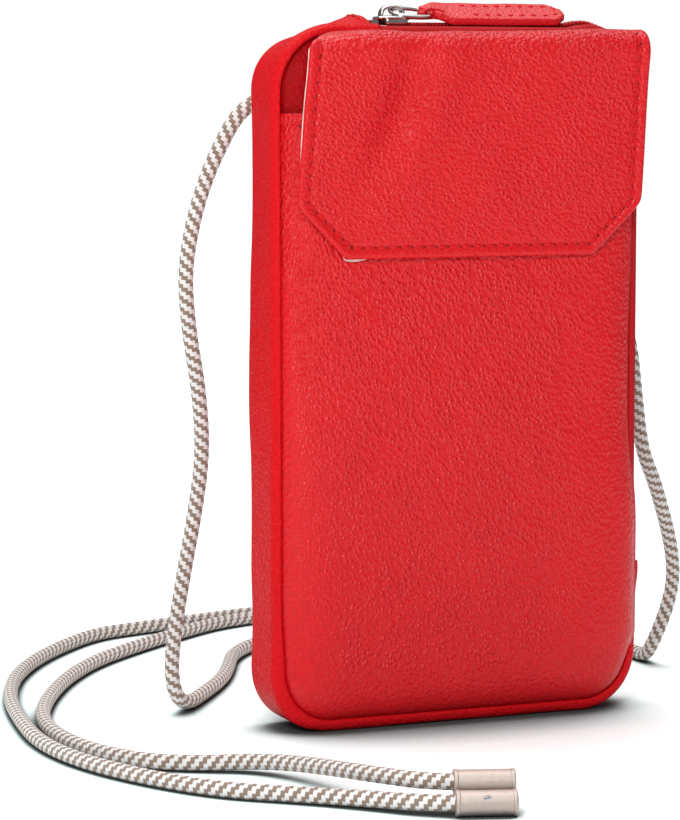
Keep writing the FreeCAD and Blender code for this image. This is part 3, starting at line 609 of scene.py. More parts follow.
def body_outline():
    """Stretches of the outline, clockwise from the zip's start: kind, length, start or centre, and then a
    line's direction or a turn's radius and first angle."""
    turn_top = TOP_RADIUS * pi / 2
    turn_bottom = BOTTOM_RADIUS * pi / 2
    right = HALF_WIDTH - TOP_RADIUS
    low_right = HALF_WIDTH - BOTTOM_RADIUS
    high = HEIGHT - TOP_RADIUS
    side = high - BOTTOM_RADIUS
    return [
        ("line", right - ZIP_START_X, (ZIP_START_X, HEIGHT), (1, 0)),
        ("turn", turn_top, (right, high), (TOP_RADIUS, 90)),
        ("line", side, (HALF_WIDTH, high), (0, -1)),
        ("turn", turn_bottom, (low_right, BOTTOM_RADIUS), (BOTTOM_RADIUS, 0)),
        ("line", 2 * low_right, (low_right, 0.0), (-1, 0)),
        ("turn", turn_bottom, (-low_right, BOTTOM_RADIUS), (BOTTOM_RADIUS, -90)),
        ("line", side, (-HALF_WIDTH, BOTTOM_RADIUS), (0, 1)),
        ("turn", turn_top, (-right, high), (TOP_RADIUS, -180)),
        ("line", ZIP_START_X + right, (-right, HEIGHT), (1, 0)),
    ]


OUTLINE = body_outline()
OUTLINE_LENGTH = sum(stretch[1] for stretch in OUTLINE)
ZIP_LENGTH = OUTLINE[0][1] + OUTLINE[1][1] + HEIGHT - TOP_RADIUS - ZIP_END_Z


def outline_place(distance):
    """Point on the outline and its outward direction, as (x, z, out x, out z)."""
    for kind, length, start, data in OUTLINE:
        if distance <= length + 1e-9:
            break
        distance -= length
    if kind == "line":
        return start[0] + data[0] * distance, start[1] + data[1] * distance, -data[1], data[0]
    radius, angle = data
    a = radians(angle) - distance / radius
    return start[0] + radius * cos(a), start[1] + radius * sin(a), cos(a), sin(a)


def arc(centre, radius, start, end, steps):
    """Points (inset, y) on an arc. Angle 0 points outward, 90 to the back."""
    turns = [radians(start + (end - start) * i / steps) for i in range(steps + 1)]
    return [(centre[0] - radius * cos(a), centre[1] + radius * sin(a)) for a in turns]


def band_profile(inset, wall, rolled, front=0.0, back=0.0):
    """Closed section of a strip round the body, rolled at the seams named. Elsewhere it ends at a Y."""
    roll = EDGE_ROLL - inset
    first, first_inner = [(inset, front)], [(inset + wall, front)]
    if "front" in rolled:
        middle = (EDGE_ROLL, -HALF_DEPTH + roll)
        first = [(GROOVE_INSET, -HALF_DEPTH + GROOVE_DEPTH)]
        first += arc((EDGE_ROLL, -HALF_DEPTH + EDGE_LIP), EDGE_LIP, -180, -90, 3)[1:]
        first += arc(middle, roll, -90, 0, 9)[1:]
        first_inner = [(GROOVE_INSET, -HALF_DEPTH + GROOVE_DEPTH + wall / 2)]
        first_inner += arc(middle, roll - wall, -90, 0, 4)
    last, last_inner = [(inset, back)], [(inset + wall, back)]
    if "back" in rolled:
        middle = (EDGE_ROLL, HALF_DEPTH - roll)
        last = arc(middle, roll, 0, 90, 9)
        last += arc((EDGE_ROLL, HALF_DEPTH - EDGE_LIP), EDGE_LIP, 90, 180, 3)[1:]
        last += [(GROOVE_INSET, HALF_DEPTH - GROOVE_DEPTH)]
        last_inner = arc(middle, roll - wall, 0, 90, 4)
        last_inner += [(GROOVE_INSET, HALF_DEPTH - GROOVE_DEPTH - wall / 2)]
    start, end = first[-1][1], last[0][1]
    flat = [(inset, start + (end - start) * i / 9) for i in range(1, 9)]
    return first + flat + last + (first_inner + last_inner)[::-1]


def sweep(name, profile, start, end, swell, look, node):
    """A strip of the pouch: its section run along the outline. swell gives how far it stands out."""
    count = round((end - start) / STRIP_STEP)
    vertices = []
    for i in range(count + 1):
        x, z, out_x, out_z = outline_place(start + (end - start) * i / count)
        for inset, y in profile:
            d = inset - swell(x, y, z, inset)
            vertices.append((x - out_x * d, y, z - out_z * d))
    return piece(name, vertices, tube_faces(count + 1, len(profile)), look, "pouch", node)


# Depths of the panels

def edge_factor(x, z, inset, power):
    """Falls from 1 in the middle of a panel to 0 at its sides and its rounded foot."""
    half = HALF_WIDTH - inset
    distance = edge_distance(x, z, inset) if z < HEIGHT / 2 else half - abs(x)
    return 1 - (1 - max(distance, -FRONT_INSET) / half) ** power


def roll_tighten(x, z):
    """How far the seam of the gusset's front roll lies further out on the left side."""
    return ROLL_TIGHTEN * smooth_step(-x, 30 * MM, 44 * MM) * smooth_step(z, 12 * MM, 36 * MM)


def zip_cover(x, z):
    """How far the front panel reaches over the edge beside it on the right, as a share of ZIP_COVER."""
    low = smooth_step(z, 12 * MM, 22 * MM) * (1 - smooth_step(z, 50 * MM, 85 * MM))
    high = 0.35 * smooth_step(z, 100 * MM, 125 * MM)
    return smooth_step(x, 20 * MM, 40 * MM) * (low + high)


def zip_draw(x, z):
    """How far the zip is drawn in on the right side. It stands out at the corner."""
    side = ZIP_DRAW * smooth_step(x, 45 * MM, 52 * MM) * smooth_step(HEIGHT - z, 14 * MM, 40 * MM)
    corner = ZIP_RAISE * smooth_step(x, 31 * MM, 40 * MM) * smooth_step(z, HEIGHT - 20 * MM, HEIGHT - 6 * MM)
    return side - corner


def front_face(x, z):
    """Depth of the front panel's outer face, before its edge is tucked in."""
    covers = zip_cover(x, z)
    rise = max(0.0, (z - MOUTH) / LIFT_REACH + 1)
    swell = edge_factor(x, z, FRONT_INSET - ZIP_COVER * covers - roll_tighten(x, z), FRONT_POWER)
    pressed = 1.8 * MM * bell(x, -24 * MM, 7 * MM) * bell(z, MOUTH + 5 * MM, 16 * MM)
    bulge = swell * (FRONT_BULGE + MOUTH_LIFT * rise ** 2) + ZIP_COVER_LIFT * covers - pressed
    return -HALF_DEPTH + RIM_RECESS - bulge


def tuck(x, z, inset=GROOVE_INSET):
    """How deep a panel's edge is drawn into its seam."""
    t = clamp(1 - edge_distance(x, z, inset) / SHOULDER)
    return GROOVE_DEPTH * (1 - sqrt(1 - t * t))


def front_depth(x, z):
    """Depth of the front panel with its tucked edge, its sewn rim and slow unevenness."""
    seam = GROOVE_INSET - roll_tighten(x, z)
    covers = zip_cover(x, z)
    calm = clamp(edge_distance(x, z, seam - ZIP_COVER * covers) / (8 * MM))
    uneven = ripple(x, 0, z, 21 * MM, 0.35 * MM) + ripple(x, 5 * MM, z, 9 * MM, 0.1 * MM)
    rim = 0.3 * MM * bell(z, MOUTH - 1.3 * MM, 1.0 * MM) - 0.4 * MM * bell(z, MOUTH_SEAM, 0.8 * MM)
    return front_face(x, z) + tuck(x, z, seam) * (1 - covers) + uneven * calm - rim


def divider_depth(x, z):
    """Depth of the divider's front face: pressed back by what the pocket holds, full at its upper corners."""
    top = HEIGHT - SAG_DROP
    sag = edge_factor(x, z, EDGE_ROLL, DIVIDER_POWER) * DIVIDER_SAG * (1 - smooth_step(z, top - SAG_REACH, top))
    shoulder = 1 - clamp(edge_distance(x, z, GROOVE_INSET) / (7 * MM))
    pillow = (1 - shoulder ** 2) * bell(abs(x), 46 * MM, 7 * MM) * smooth_step(z, 148 * MM, 160 * MM)
    return -HALF_DEPTH + GUSSET_WALL + sag * (1 - pillow) - PILLOW * pillow


def back_depth(x, z):
    """Depth of the back panel's outer face."""
    up = max(0.0, (z - HEIGHT / 2) / (HEIGHT / 2 - FRONT_INSET))
    swell = edge_factor(x, z, FRONT_INSET, BACK_POWER) * BACK_BULGE * max(0.0, 1 - up ** BACK_POWER)
    return HALF_DEPTH - RIM_RECESS + swell


def panel_calm(x, z):
    """How strong a panel's grain is: fainter towards its foot, its right side and its seam."""
    side = 1 - 0.35 * smooth_step(x, 15 * MM, 42 * MM)
    reach = 2.5 * MM + 15 * MM * (1 - smooth_step(z, 30 * MM, 110 * MM))
    least = 0.3 + 0.6 * smooth_step(z, 112 * MM, 126 * MM)
    return side * (least + (1 - least) * smooth_step(edge_distance(x, z, GROOVE_INSET), 0, reach))


# Pouch

def panel(name, node, look, wall, inward, depth, inset, top, step, columns, left_extra=None, right_extra=None):
    """A panel inside an inset outline. depth gives each place's Y, and the extras widen its two sides."""
    spots = np.linspace(-1, 1, columns)
    spots = 0.3 * spots + 0.7 * np.sin(spots * pi / 2)
    points = []
    for z in row_heights(inset, top, step):
        half = half_width(z, inset)
        left = half + (left_extra(-half, z) if left_extra else 0.0)
        right = half + (right_extra(half, z) if right_extra else 0.0)
        across = [u * (left if u < 0 else right) for u in spots]
        points.append([(x, depth(x, z), z) for x in across])
    thing = shell(name, points, inward, wall, look, "pouch", node)
    if look is FRONT_LEATHER:
        map_calm(thing, [[panel_calm(x, z) for x, y, z in row] for row in points])


def make_panels():
    """Front, divider and back, with the linings of the pocket and the zip compartment."""
    under = PANEL_WALL + LINING_GAP
    panel("pocket_front", "front_panel", FRONT_LEATHER, PANEL_WALL, Y_AXIS, front_depth,
          GROOVE_INSET, MOUTH - PANEL_WALL / 2, step=1.1 * MM, columns=130,
          left_extra=roll_tighten, right_extra=lambda x, z: ZIP_COVER * zip_cover(HALF_WIDTH, z))
    panel("pocket_lining", "front_lining", LINING_CLOTH, LINING_WALL, Y_AXIS,
          lambda x, z: front_face(x, z) + under, LINING_INSET, MOUTH - 1 * MM, step=2.4 * MM, columns=60)
    panel("divider", "divider_panel", SMOOTH_SHADED_LEATHER, DIVIDER_WALL, Y_AXIS, divider_depth,
          EDGE_ROLL, None, step=1.6 * MM, columns=110, left_extra=roll_tighten)
    panel("pouch_back", "back_panel", FRONT_LEATHER, PANEL_WALL, -Y_AXIS,
          lambda x, z: back_depth(x, z) - tuck(x, z), GROOVE_INSET, None, step=1.6 * MM, columns=90)
    panel("back_inside", "back_lining", LINING_CLOTH, LINING_WALL, -Y_AXIS,
          lambda x, z: back_depth(x, z) - under, LINING_INSET, None, step=2.4 * MM, columns=60)


def top_dip(x, y, z):
    """The gusset's soft upper corner, lower at the back."""
    top = smooth_step(z, HEIGHT - 14 * MM, HEIGHT - 6 * MM)
    return -1.9 * MM * bell(x, -40 * MM, 8 * MM) * smooth_step(y, -7 * MM, 5 * MM) * top


def gusset_swell(x, y, z, inset):
    """Slow unevenness of the gusset, its soft corners and its rise to the zip's end."""
    tight = roll_tighten(x, z) * smooth_step(-y, 2 * MM, 6 * MM) * inset / GROOVE_INSET
    if inset > EDGE_ROLL:
        return tight
    swell = tight + ripple(x, y, z, 16 * MM, 0.3 * MM) + top_dip(x, y, z)
    if x < 0:
        wave = 0.7 * MM * bell(z, 92 * MM, 22 * MM) - 0.6 * MM * bell(z, 146 * MM, 18 * MM)
        swell += wave * smooth_step(y, -6 * MM, 4 * MM)
        swell += 0.6 * MM * bell(hypot(x + 48 * MM, z - 5 * MM), 0, 10 * MM)
    else:
        swell += 0.8 * MM * bell(z, ZIP_END_Z - 2 * MM, 5 * MM)
    return min(0.0, swell) if z < 1 * MM else swell


def make_gusset():
    """Leather strip round the left, the base and the foot of the right side."""
    profile = band_profile(0.0, GUSSET_WALL, ("front", "back"))
    sweep("gusset", profile, ZIP_LENGTH, OUTLINE_LENGTH, gusset_swell, TRIM_LEATHER, "side_gusset")


# Zip

def make_tapes():
    """The two halves of the zip tape."""
    for name in ("front", "back"):
        profile = band_profile(TAPE_INSET, TAPE_WALL, (name,), front=TAPE_SLOT, back=-TAPE_SLOT)
        sweep("tape_" + name, profile, 0.0, ZIP_LENGTH, lambda x, y, z, inset: -zip_draw(x, z),
              TAPE_CLOTH, "zip_tape_" + name)


def make_teeth():
    """Rounded coils, the two rows half a pitch apart."""
    pitch = TOOTH_PITCH / 2
    steps = circle(10)
    for name, side in (("front", -1), ("back", 1)):
        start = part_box("zip_teeth_" + name)[0].x + TOOTH_WIDTH / 2 - ZIP_START_X
        vertices, faces = [], []
        for i in range(int((ZIP_LENGTH - TEETH_END - start) / pitch)):
            x, z, out_x, out_z = outline_place(start + i * pitch)
            out = Vector((out_x, 0, out_z))
            along = Vector((out_z, 0, -out_x))
            foot = Vector((x, 0, z)) + out * (COIL_HEIGHT / 2 - TAPE_INSET - zip_draw(x, z))
            section = [along * (c * COIL_WIDTH / 2) + out * (s * COIL_HEIGHT / 2) for c, s in steps]
            rings = []
            for t in np.linspace(-1, 1, 9):
                y = side * ((CHAIN_HALF - TOOTH_REACH) / 2 - t * (CHAIN_HALF + TOOTH_REACH) / 2)
                round_end = sqrt(max(0.03, 1 - abs(t) ** 5))
                rings.append([foot + offset * round_end + Y_AXIS * y for offset in section])
            add_tube(vertices, faces, rings)
        piece("coil_" + name, vertices, faces, ZIP_NYLON, "pouch", "zip_teeth_" + name)


def make_end_tab():
    """Folded leather end that rises from the gusset to a round nose at the start of the zip."""
    low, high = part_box("zip_end_tab")
    start = low.x - 4.5 * MM
    end = high.x - 2.0 * MM
    nose = 1.7 * MM
    half = HALF_DEPTH - 1.6 * MM

    def tab_place(t, u):
        x = start + (end - start) * t
        y = u * half
        sunk = 0.45 * MM * (1 - smooth_step(t, 0.0, 0.3)) + 0.5 * MM * abs(u) ** 3
        past = max(0.0, (x - end + nose) / nose)
        crown = (high.z - HEIGHT) * smooth_step(t, 0.0, 1.0) - nose * (1 - sqrt(max(0.0, 1 - past * past)))
        return Vector((x, y, HEIGHT + top_dip(x, y, HEIGHT) - sunk + crown * (1 - abs(u) ** 2.4)))

    points = [[tab_place(t, u) for u in np.linspace(-1, 1, 33)] for t in np.linspace(0, 1, 40)]
    shell("zip_end", points, -Z_AXIS, 1.2 * MM, TRIM_LEATHER, "pouch", "zip_end_tab", rim_steps=6)
    path = [tab_place(0.8, u) for u in np.linspace(-0.75, 0.75, 24)]
    spots = [(place, along, Vector((0, 0.6 * place.y / half, 0.8)).normalized())
             for place, along in spaced(path, STITCH_PITCH)]
    stitch_row("zip_end_stitches", spots, "pouch")


# Slider and pull

def make_slider():
    """Zip slider with two plates, its side walls and an arched bridge."""
    low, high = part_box("slider_body")
    middle = (low.x + high.x) / 2
    long = (high.x - low.x) / 2
    wide = (high.y - low.y) / 2
    wall = 0.9 * MM
    rim = wall / 2
    plate_top = ring_low.z - 0.35 * MM

    def plate(name, top, dome, node=None):
        points = []
        for u in np.linspace(-1, 1, 25):
            half = (wide - rim) * (1 - 0.06 * (u + 1)) * max(0.35, 1 - abs(u) ** 4) ** 0.5
            points.append([(middle + u * (long - rim), v * half, top - dome * max(abs(u), abs(v)) ** 3)
                           for v in np.linspace(-1, 1, 15)])
        shell(name, points, -Z_AXIS, wall, ZIP_METAL, "slider", node, rim_steps=6)

    plate("slider_plate", plate_top, 0.25 * MM, "slider_body")
    plate("slider_foot", low.z + wall, 0.0)
    for side in (-1, 1):
        y = side * (wide - 0.75 * MM)
        z = plate_top - wall - 0.68 * MM
        path = [Vector((middle + t * (long - 1.5 * MM), y, z)) for t in np.linspace(-1, 1, 8)]
        bar("slider_wall", path, Z_AXIS, 0.88 * MM, 0.35 * MM, ZIP_METAL, "slider", square=0.6)
    foot = plate_top - 0.3 * MM
    rise = high.z - foot - 0.5 * MM
    path = []
    for a in np.linspace(0, pi, 25):
        x = middle - 3.1 * MM * signed_power(cos(a), 0.75)
        path.append(Vector((x, 0, foot + rise * abs(sin(a)) ** 0.75)))
    bar("slider_bridge", path, Y_AXIS, 1.2 * MM, 0.5 * MM, ZIP_METAL, "slider", square=0.75)


def make_ring():
    """The oval wire ring in the slider's bridge, turned a little and low at its far end."""
    long = (ring_high.x - ring_low.x) / 2 - RING_WIRE
    wide = (ring_high.y - ring_low.y) / 2 - RING_WIRE
    middle = (ring_low + ring_high) / 2
    path = []
    for step in circle(64):
        c, s = (signed_power(value, 0.75) for value in step)
        z = middle.z + wide * s * sin(RING_ROLL) - RING_DROOP * (1 + c) / 2
        path.append(Vector((middle.x + long * c, wide * s * cos(RING_ROLL), z)))
    axis = Vector((0, -sin(RING_ROLL), cos(RING_ROLL)))
    bar("pull_link", path, axis, RING_WIRE, RING_WIRE, ZIP_METAL, "ring", "pull_ring", closed=True)


def make_pull_strap():
    """The pull's strap, folded round the far end of the ring."""
    wall = 0.7 * MM
    radius = RING_WIRE + 0.2 * MM
    reach = 3.6 * MM
    upper = [(reach * t, radius * (1 - 0.9 * t ** 2), 0, 1) for t in np.linspace(1, 1 / 8, 8)]
    fold = [(2.0 * radius * cos(a), radius * sin(a), cos(a), sin(a))
            for a in np.linspace(pi / 2, 3 * pi / 2, 13)]
    lower = [(x, -z, 0, -1) for x, z, out_x, out_z in reversed(upper)]
    path = [(Vector((RING_END_X + x + out_x * wall, 0, RING_END_Z + z + out_z * wall)), Vector((out_x, 0, out_z)))
            for x, z, out_x, out_z in upper + fold + lower]
    strap("pull_strap", path, Y_AXIS, 2.2 * MM - wall / 2, 9, wall, PULL_LEATHER, "tab")


def make_pull_tongue():
    """The pull's stitched tongue, with cut corners."""
    wall = 2.4 * MM
    start = RING_END_X + 1.8 * MM
    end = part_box("pull_tab")[1].x - wall / 2
    full = 5.0 * MM - wall / 2

    def tongue_place(t, u):
        begin = start - 2.8 * MM * smooth_step(u, -0.3, 0.5)
        x = begin + t * (end - begin)
        half = full * (0.62 + 0.38 * smooth_step(x, begin, begin + 4.5 * MM))
        half -= max(0.0, x - (end - 2.6 * MM))
        turn = PULL_TILT * smooth_step(x, begin - 4 * MM, begin + 3 * MM)
        out = Vector((0, -sin(turn), cos(turn)))
        place = Vector((x, u * half * cos(turn), RING_END_Z + u * half * sin(turn)))
        lift = 0.3 * MM - 0.35 * MM * smooth_step(x, start - 1 * MM, start + 5 * MM)
        return place + out * (wall / 2 + lift + ripple(x, u * half, 0, 9 * MM, 0.15 * MM)), out

    grid = [[tongue_place(t, u) for u in np.linspace(-1, 1, 25)] for t in np.linspace(0, 1, 60)]
    points = [[place for place, out in row] for row in grid]
    inward = [[Vector((0, -0.3, 0)) - out for place, out in row] for row in grid]
    shell("pull_tongue", points, inward, wall, PULL_LEATHER, "tab", "pull_tab", rim_steps=8, rim_power=0.55)
    inset = 1 - 1.3 * MM / full
    path = [tongue_place(t, -inset)[0] for t in np.linspace(0.25, 0.92, 40)]
    path += [tongue_place(0.97, u)[0] for u in np.linspace(-0.6, 0.6, 12)]
    path += [tongue_place(t, inset)[0] for t in np.linspace(0.92, 0.25, 40)]
    out = Vector((0, -sin(PULL_TILT), cos(PULL_TILT)))
    spots = [(place - out * (0.25 * MM), along, out) for place, along in spaced(path, STITCH_PITCH)]
    stitch_row("pull_stitches", spots, "tab")


# Flap

# Its lean, the middle of its fold and its lengths before, round and after the fold, set by the panel under it
edge_y = front_face(0, FLAP_EDGE_Z) - FLAP_EDGE_CLEAR
mouth_y = front_face(0, MOUTH) - FLAP_MOUTH_CLEAR
LEAN = atan((edge_y - mouth_y) / (MOUTH - FLAP_EDGE_Z))
FOLD_Z = FLAP_TOP - FLAP_FOLD
FALL = (FOLD_Z - FLAP_FOLD * sin(LEAN) - FLAP_EDGE_Z) / cos(LEAN)
FOLD_Y = edge_y + (FLAP_FOLD - FLAP_WALL - FLAP_LINING) * cos(LEAN) - FALL * sin(LEAN)
FLAP_RUN = FLAP_ROOT_Y - FOLD_Y
FLAP_TURN = FLAP_FOLD * (pi / 2 + LEAN)
FLAP_LENGTH = FLAP_RUN + FLAP_TURN + FALL
magnet_low, magnet_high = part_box("flap_magnet")
MAGNET_DOWN = FOLD_Z - (magnet_low.z + magnet_high.z) / 2


def flap_line(s):
    """Place and outward direction on the flap's outer face at x = 0, by the length from its root."""
    if s <= FLAP_RUN:
        return Vector((0, FLAP_ROOT_Y - s, FLAP_TOP)), Z_AXIS
    turned = min(s - FLAP_RUN, FLAP_TURN)
    a = pi / 2 + turned / FLAP_FOLD
    out = Vector((0, cos(a), sin(a)))
    place = Vector((0, FOLD_Y, FOLD_Z)) + out * FLAP_FOLD
    rest = s - FLAP_RUN - turned
    return place + Vector((0, sin(LEAN), -cos(LEAN))) * rest, out


def left_draw(x, s):
    """How far the flap's left edge is drawn in towards its fold. Its lower part stands out."""
    if x > 0:
        return 0.0
    drawn = FLAP_LEFT_DRAW * (1 - smooth_step(s, 6 * MM, 36 * MM))
    return drawn - FLAP_LEFT_SPREAD * smooth_step(s, 32 * MM, 58 * MM)


def flap_half(x, s):
    """The flap's reach on the side of x: drawn in at the root, cut off at the lower corners."""
    t = clamp(s / (FLAP_SHOULDER_REACH if x < 0 else FLAP_RIGHT_REACH))
    half = FLAP_HALF - (FLAP_HALF - FLAP_ROOT_HALF) * (1 - t) ** FLAP_SHOULDER_POWER
    past = s - (FLAP_LENGTH - FLAP_CHAMFER)
    return half - (past + hypot(past, FLAP_SOFTNESS)) / 2 - left_draw(x, s)


def flap_edge(x, s):
    """How far inside the flap's outline a place is."""
    side = FLAP_HALF - left_draw(x, s) - abs(x)
    foot = FLAP_LENGTH - s
    corner = (side + foot - FLAP_CHAMFER) / sqrt(2)
    return min(side, foot, corner)


def flap_relief(x, s):
    """Dents and swellings of the soft flap, and the groove that its stitches press."""
    edge = flap_edge(x, s)
    down = s - FLAP_RUN - FLAP_TURN
    valley_x = -17.5 * MM - 0.2 * down - 6.0 * down * down
    dent = -2.3 * MM * bell(x, valley_x, 5.5 * MM) * bell(down, 14 * MM, 16 * MM)
    ridge = 0.9 * MM * bell(x, valley_x + 9.5 * MM, 5.5 * MM) * bell(down, 18 * MM, 20 * MM)
    slope = -0.8 * MM * bell(x, 37.7 * MM - 0.82 * down, 8 * MM) * bell(down, 27 * MM, 16 * MM)
    slow = ripple(x, 0, s, 17 * MM, 0.35 * MM)
    calm = clamp(edge / (12 * MM))
    firm = 1 - bell(hypot(x, down - MAGNET_DOWN), 0, 8 * MM)
    groove = -0.45 * MM * bell(edge, STITCH_INSET, 0.8 * MM) + 0.3 * MM * bell(edge, 1.3 * MM, 0.9 * MM)
    sewn = clamp((s - FLAP_RUN) / (4 * MM))
    sag = -1.7 * MM * smooth_step(-x, 28 * MM, 48 * MM) * bell(s, FLAP_RUN + 3 * MM, 8 * MM)
    sag += 0.9 * MM * smooth_step(x, 0, 30 * MM) * bell(s, FLAP_RUN + 3 * MM, 9 * MM)
    return (dent + ridge + slope + slow) * calm * firm + groove * sewn + sag


def flap_point(x, s, depth=0.0):
    """Place on the flap at a depth under its outer face, and the outward direction there."""
    place, out = flap_line(s)
    return Vector((x, 0, 0)) + place + out * (flap_relief(x, s) - depth), out


def flap_layer(name, node, look, wall, depth, trim, root, rows, columns, shows=0.0):
    """One layer of the flap, from its root and inside its outline by trim. Where shows is above 0, it comes out
    at the upper left edge and a lower corner."""
    points, inward, inside = [], [], []
    for s in np.linspace(root, FLAP_LENGTH - trim, rows):
        right = flap_half(1, s + trim) - trim
        upper = smooth_step(s, 12 * MM, 15 * MM) * (1 - smooth_step(s, 38 * MM, 46 * MM))
        left = flap_half(-1, s + trim) - trim + shows * 0.3 * MM * upper
        foot = shows * 1.1 * MM * smooth_step(s, FLAP_LENGTH - 2 * MM, FLAP_LENGTH - trim)
        across = [u * (left if u < 0 else right) for u in np.linspace(-1, 1, columns)]
        row = [flap_point(x, s + foot * bell(x, -33 * MM, 4.5 * MM), depth) for x in across]
        points.append([place for place, out in row])
        inward.append([-out for place, out in row])
        inside.append([flap_edge(x, s) for x in across])
    layer = shell(name, points, inward, wall, look, node=node)
    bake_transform(layer)
    if look is FLAP_LEATHER:
        seam_end = STITCH_INSET + 2 * MM
        map_calm(layer, [[0.55 + 0.45 * smooth_step(edge, STITCH_INSET, seam_end) for edge in row]
                         for row in inside])


def make_flap():
    """The flap's leather, its lining and its stitches."""
    flap_layer("flap", "flap_outer", FLAP_LEATHER, FLAP_WALL, depth=0.0, trim=FLAP_WALL / 2, root=0.0,
               rows=104, columns=124)
    flap_layer("flap_inside", "flap_lining", FLAP_LINING_CLOTH, FLAP_LINING, depth=FLAP_WALL,
               trim=FLAP_LINING / 2 + 0.4 * MM, root=2.8 * MM, rows=90, columns=100, shows=1.0)
    start = FLAP_RUN + 3.0 * MM
    side = FLAP_HALF - STITCH_INSET
    foot = FLAP_LENGTH - STITCH_INSET
    cut = FLAP_CHAMFER - STITCH_INSET * (2 - sqrt(2))
    corners = [(left_draw(-1, s) - side, s, 0) for s in np.linspace(start, foot - cut, 16)]
    corners += [(-side + cut, foot, 0), (side - cut, foot, 0), (side, foot - cut, 0), (side, start, 0)]
    spots = []
    for place, along in spaced(corners, STITCH_PITCH):
        here, out = flap_point(place.x, place.y)
        ahead, out = flap_point(place.x + along.x * MM, place.y + along.y * MM)
        spots.append((here, (ahead - here).normalized(), out))
    stitch_row("flap_stitches", spots, "flap")


def make_mouth_stitches():
    """Stitches under the rim of the slip pocket."""
    half = half_width(MOUTH_SEAM, GROOVE_INSET) - 1.2 * MM
    path = [(x, front_depth(x, MOUTH_SEAM), MOUTH_SEAM) for x in np.linspace(-half - ROLL_TIGHTEN, half, 120)]
    spots = [(place, along, -Y_AXIS) for place, along in spaced(path, STITCH_PITCH)]
    stitch_row("mouth_stitches", spots, "pouch")


# Cord

def make_strap_loops():
    """Folded leather loops on the back that carry the cord."""
    wall = 1.3 * MM
    radius = 3.6 * MM
    for name in ("left", "right"):
        low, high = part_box("strap_loop_" + name)
        top = Vector(((low.x + high.x) / 2, high.y - radius, high.z - radius))
        flat_y = top.y - radius + 2 * wall
        path = [(Vector((top.x, flat_y, z)), Y_AXIS) for z in np.linspace(low.z, top.z - 3 * MM, 9)]
        for a in np.radians(np.linspace(-35, 180, 21)):
            out = Vector((0, cos(a), sin(a)))
            path.append((top + out * radius, out))
        half = (high.x - low.x - wall) / 2
        strap("cord_loop_" + name, path, X_AXIS, half, 13, wall, TRIM_LEATHER, "pouch", "strap_loop_" + name)


# Points of the two stretches, in millimetres. One without a height lies on the floor.
FLOOR_Z = 2.05
LEFT_ROUTE = [
    (-50.0, 15.1, 163.3), (-53.9, 15.3, 159.8), (-57.4, 15.6, 153.8), (-61.4, 16.0, 145.4),
    (-65.2, 16.4, 134.0), (-67.6, 17.2, 119.5), (-66.0, 18.4, 104.0), (-62.9, 19.4, 88.0),
    (-61.6, 20.2, 71.5), (-63.6, 21.4, 55.0), (-66.4, 22.8, 38.5), (-68.6, 24.0, 23.5),
    (-69.4, 24.6, 12.5), (-67.6, 26.0, 5.2), (-62.5, 31.0), (-53.5, 43.4), (-42.0, 60.5), (-34.0, 77.5),
    (-26.5, 95.5), (-12.5, 111.0), (6.0, 117.5), (22.0, 122.0), (32.0, 133.0), (29.0, 147.0), (16.0, 153.5),
    (0.0, 151.5), (-15.5, 145.0), (-32.0, 132.0), (-50.0, 116.5), (-67.5, 99.5), (-82.5, 78.0),
    (-95.5, 52.5), (-105.0, 27.0), (-107.0, 3.0), (-103.5, -17.0), (-94.5, -33.0), (-83.0, -40.0, 2.2),
    (-72.5, -44.5, 2.7), (-65.5, -54.0, 3.8), (-61.0, -67.5, 5.1), (-56.5, -83.0, 6.4),
]
RIGHT_ROUTE = [
    (50.4, 15.1, 163.3), (54.6, 15.4, 159.6), (57.2, 15.8, 153.6), (58.4, 16.0, 145.0),
    (58.2, 16.4, 130.0), (58.9, 17.0, 113.5), (61.9, 17.6, 103.0), (64.4, 18.2, 94.5), (66.3, 19.6, 84.4),
    (69.4, 22.6, 71.9), (72.2, 25.0, 64.4), (77.3, 28.5, 56.6), (81.6, 32.0, 48.8), (85.7, 35.5, 40.8),
    (88.4, 37.5, 33.0), (89.3, 38.5, 25.5), (87.9, 39.0, 18.2), (85.4, 40.0, 10.8), (84.6, 42.4, 6.2),
    (85.2, 47.5), (85.4, 56.5), (84.0, 69.0), (83.0, 88.0), (77.0, 109.0), (65.5, 130.0), (48.0, 148.0),
    (26.0, 158.5), (2.0, 159.5), (-20.0, 152.5), (-38.0, 147.5), (-54.0, 142.0), (-69.0, 126.5),
    (-84.0, 106.5), (-96.5, 83.0), (-105.5, 55.5), (-110.5, 27.0), (-113.4, 0.0), (-110.5, -24.0),
    (-102.0, -46.5), (-89.0, -67.5), (-73.5, -79.0), (-60.5, -90.5, 2.4),
]
CLAMP_HEADING = radians(-18)
CLAMP_TILT = radians(40)
CLAMP_SPACING = 5.95 * MM
CLAMP_END = Vector((-44.5, -105.4, 3.15)) * MM
CLAMP_DEPTH = 9.9 * MM
EXIT_RUN = 4.9 * MM


def spline_points(name, points):
    """Points read from a smooth spline that has the route's points as its control points."""
    curve = bpy.data.curves.new(name, "CURVE")
    curve.dimensions = "3D"
    spline = curve.splines.new("NURBS")
    spline.points.add(len(points) - 1)
    for target, point in zip(spline.points, points):
        target.co = (*point, 1.0)
    spline.order_u = 3
    spline.use_endpoint_u = True
    spline.resolution_u = 24
    guide = bpy.data.objects.new(name, curve)
    mesh = bpy.data.meshes.new_from_object(guide)
    found = [vertex.co.copy() for vertex in mesh.vertices]
    bpy.data.objects.remove(guide)
    bpy.data.curves.remove(curve)
    bpy.data.meshes.remove(mesh)
    return found


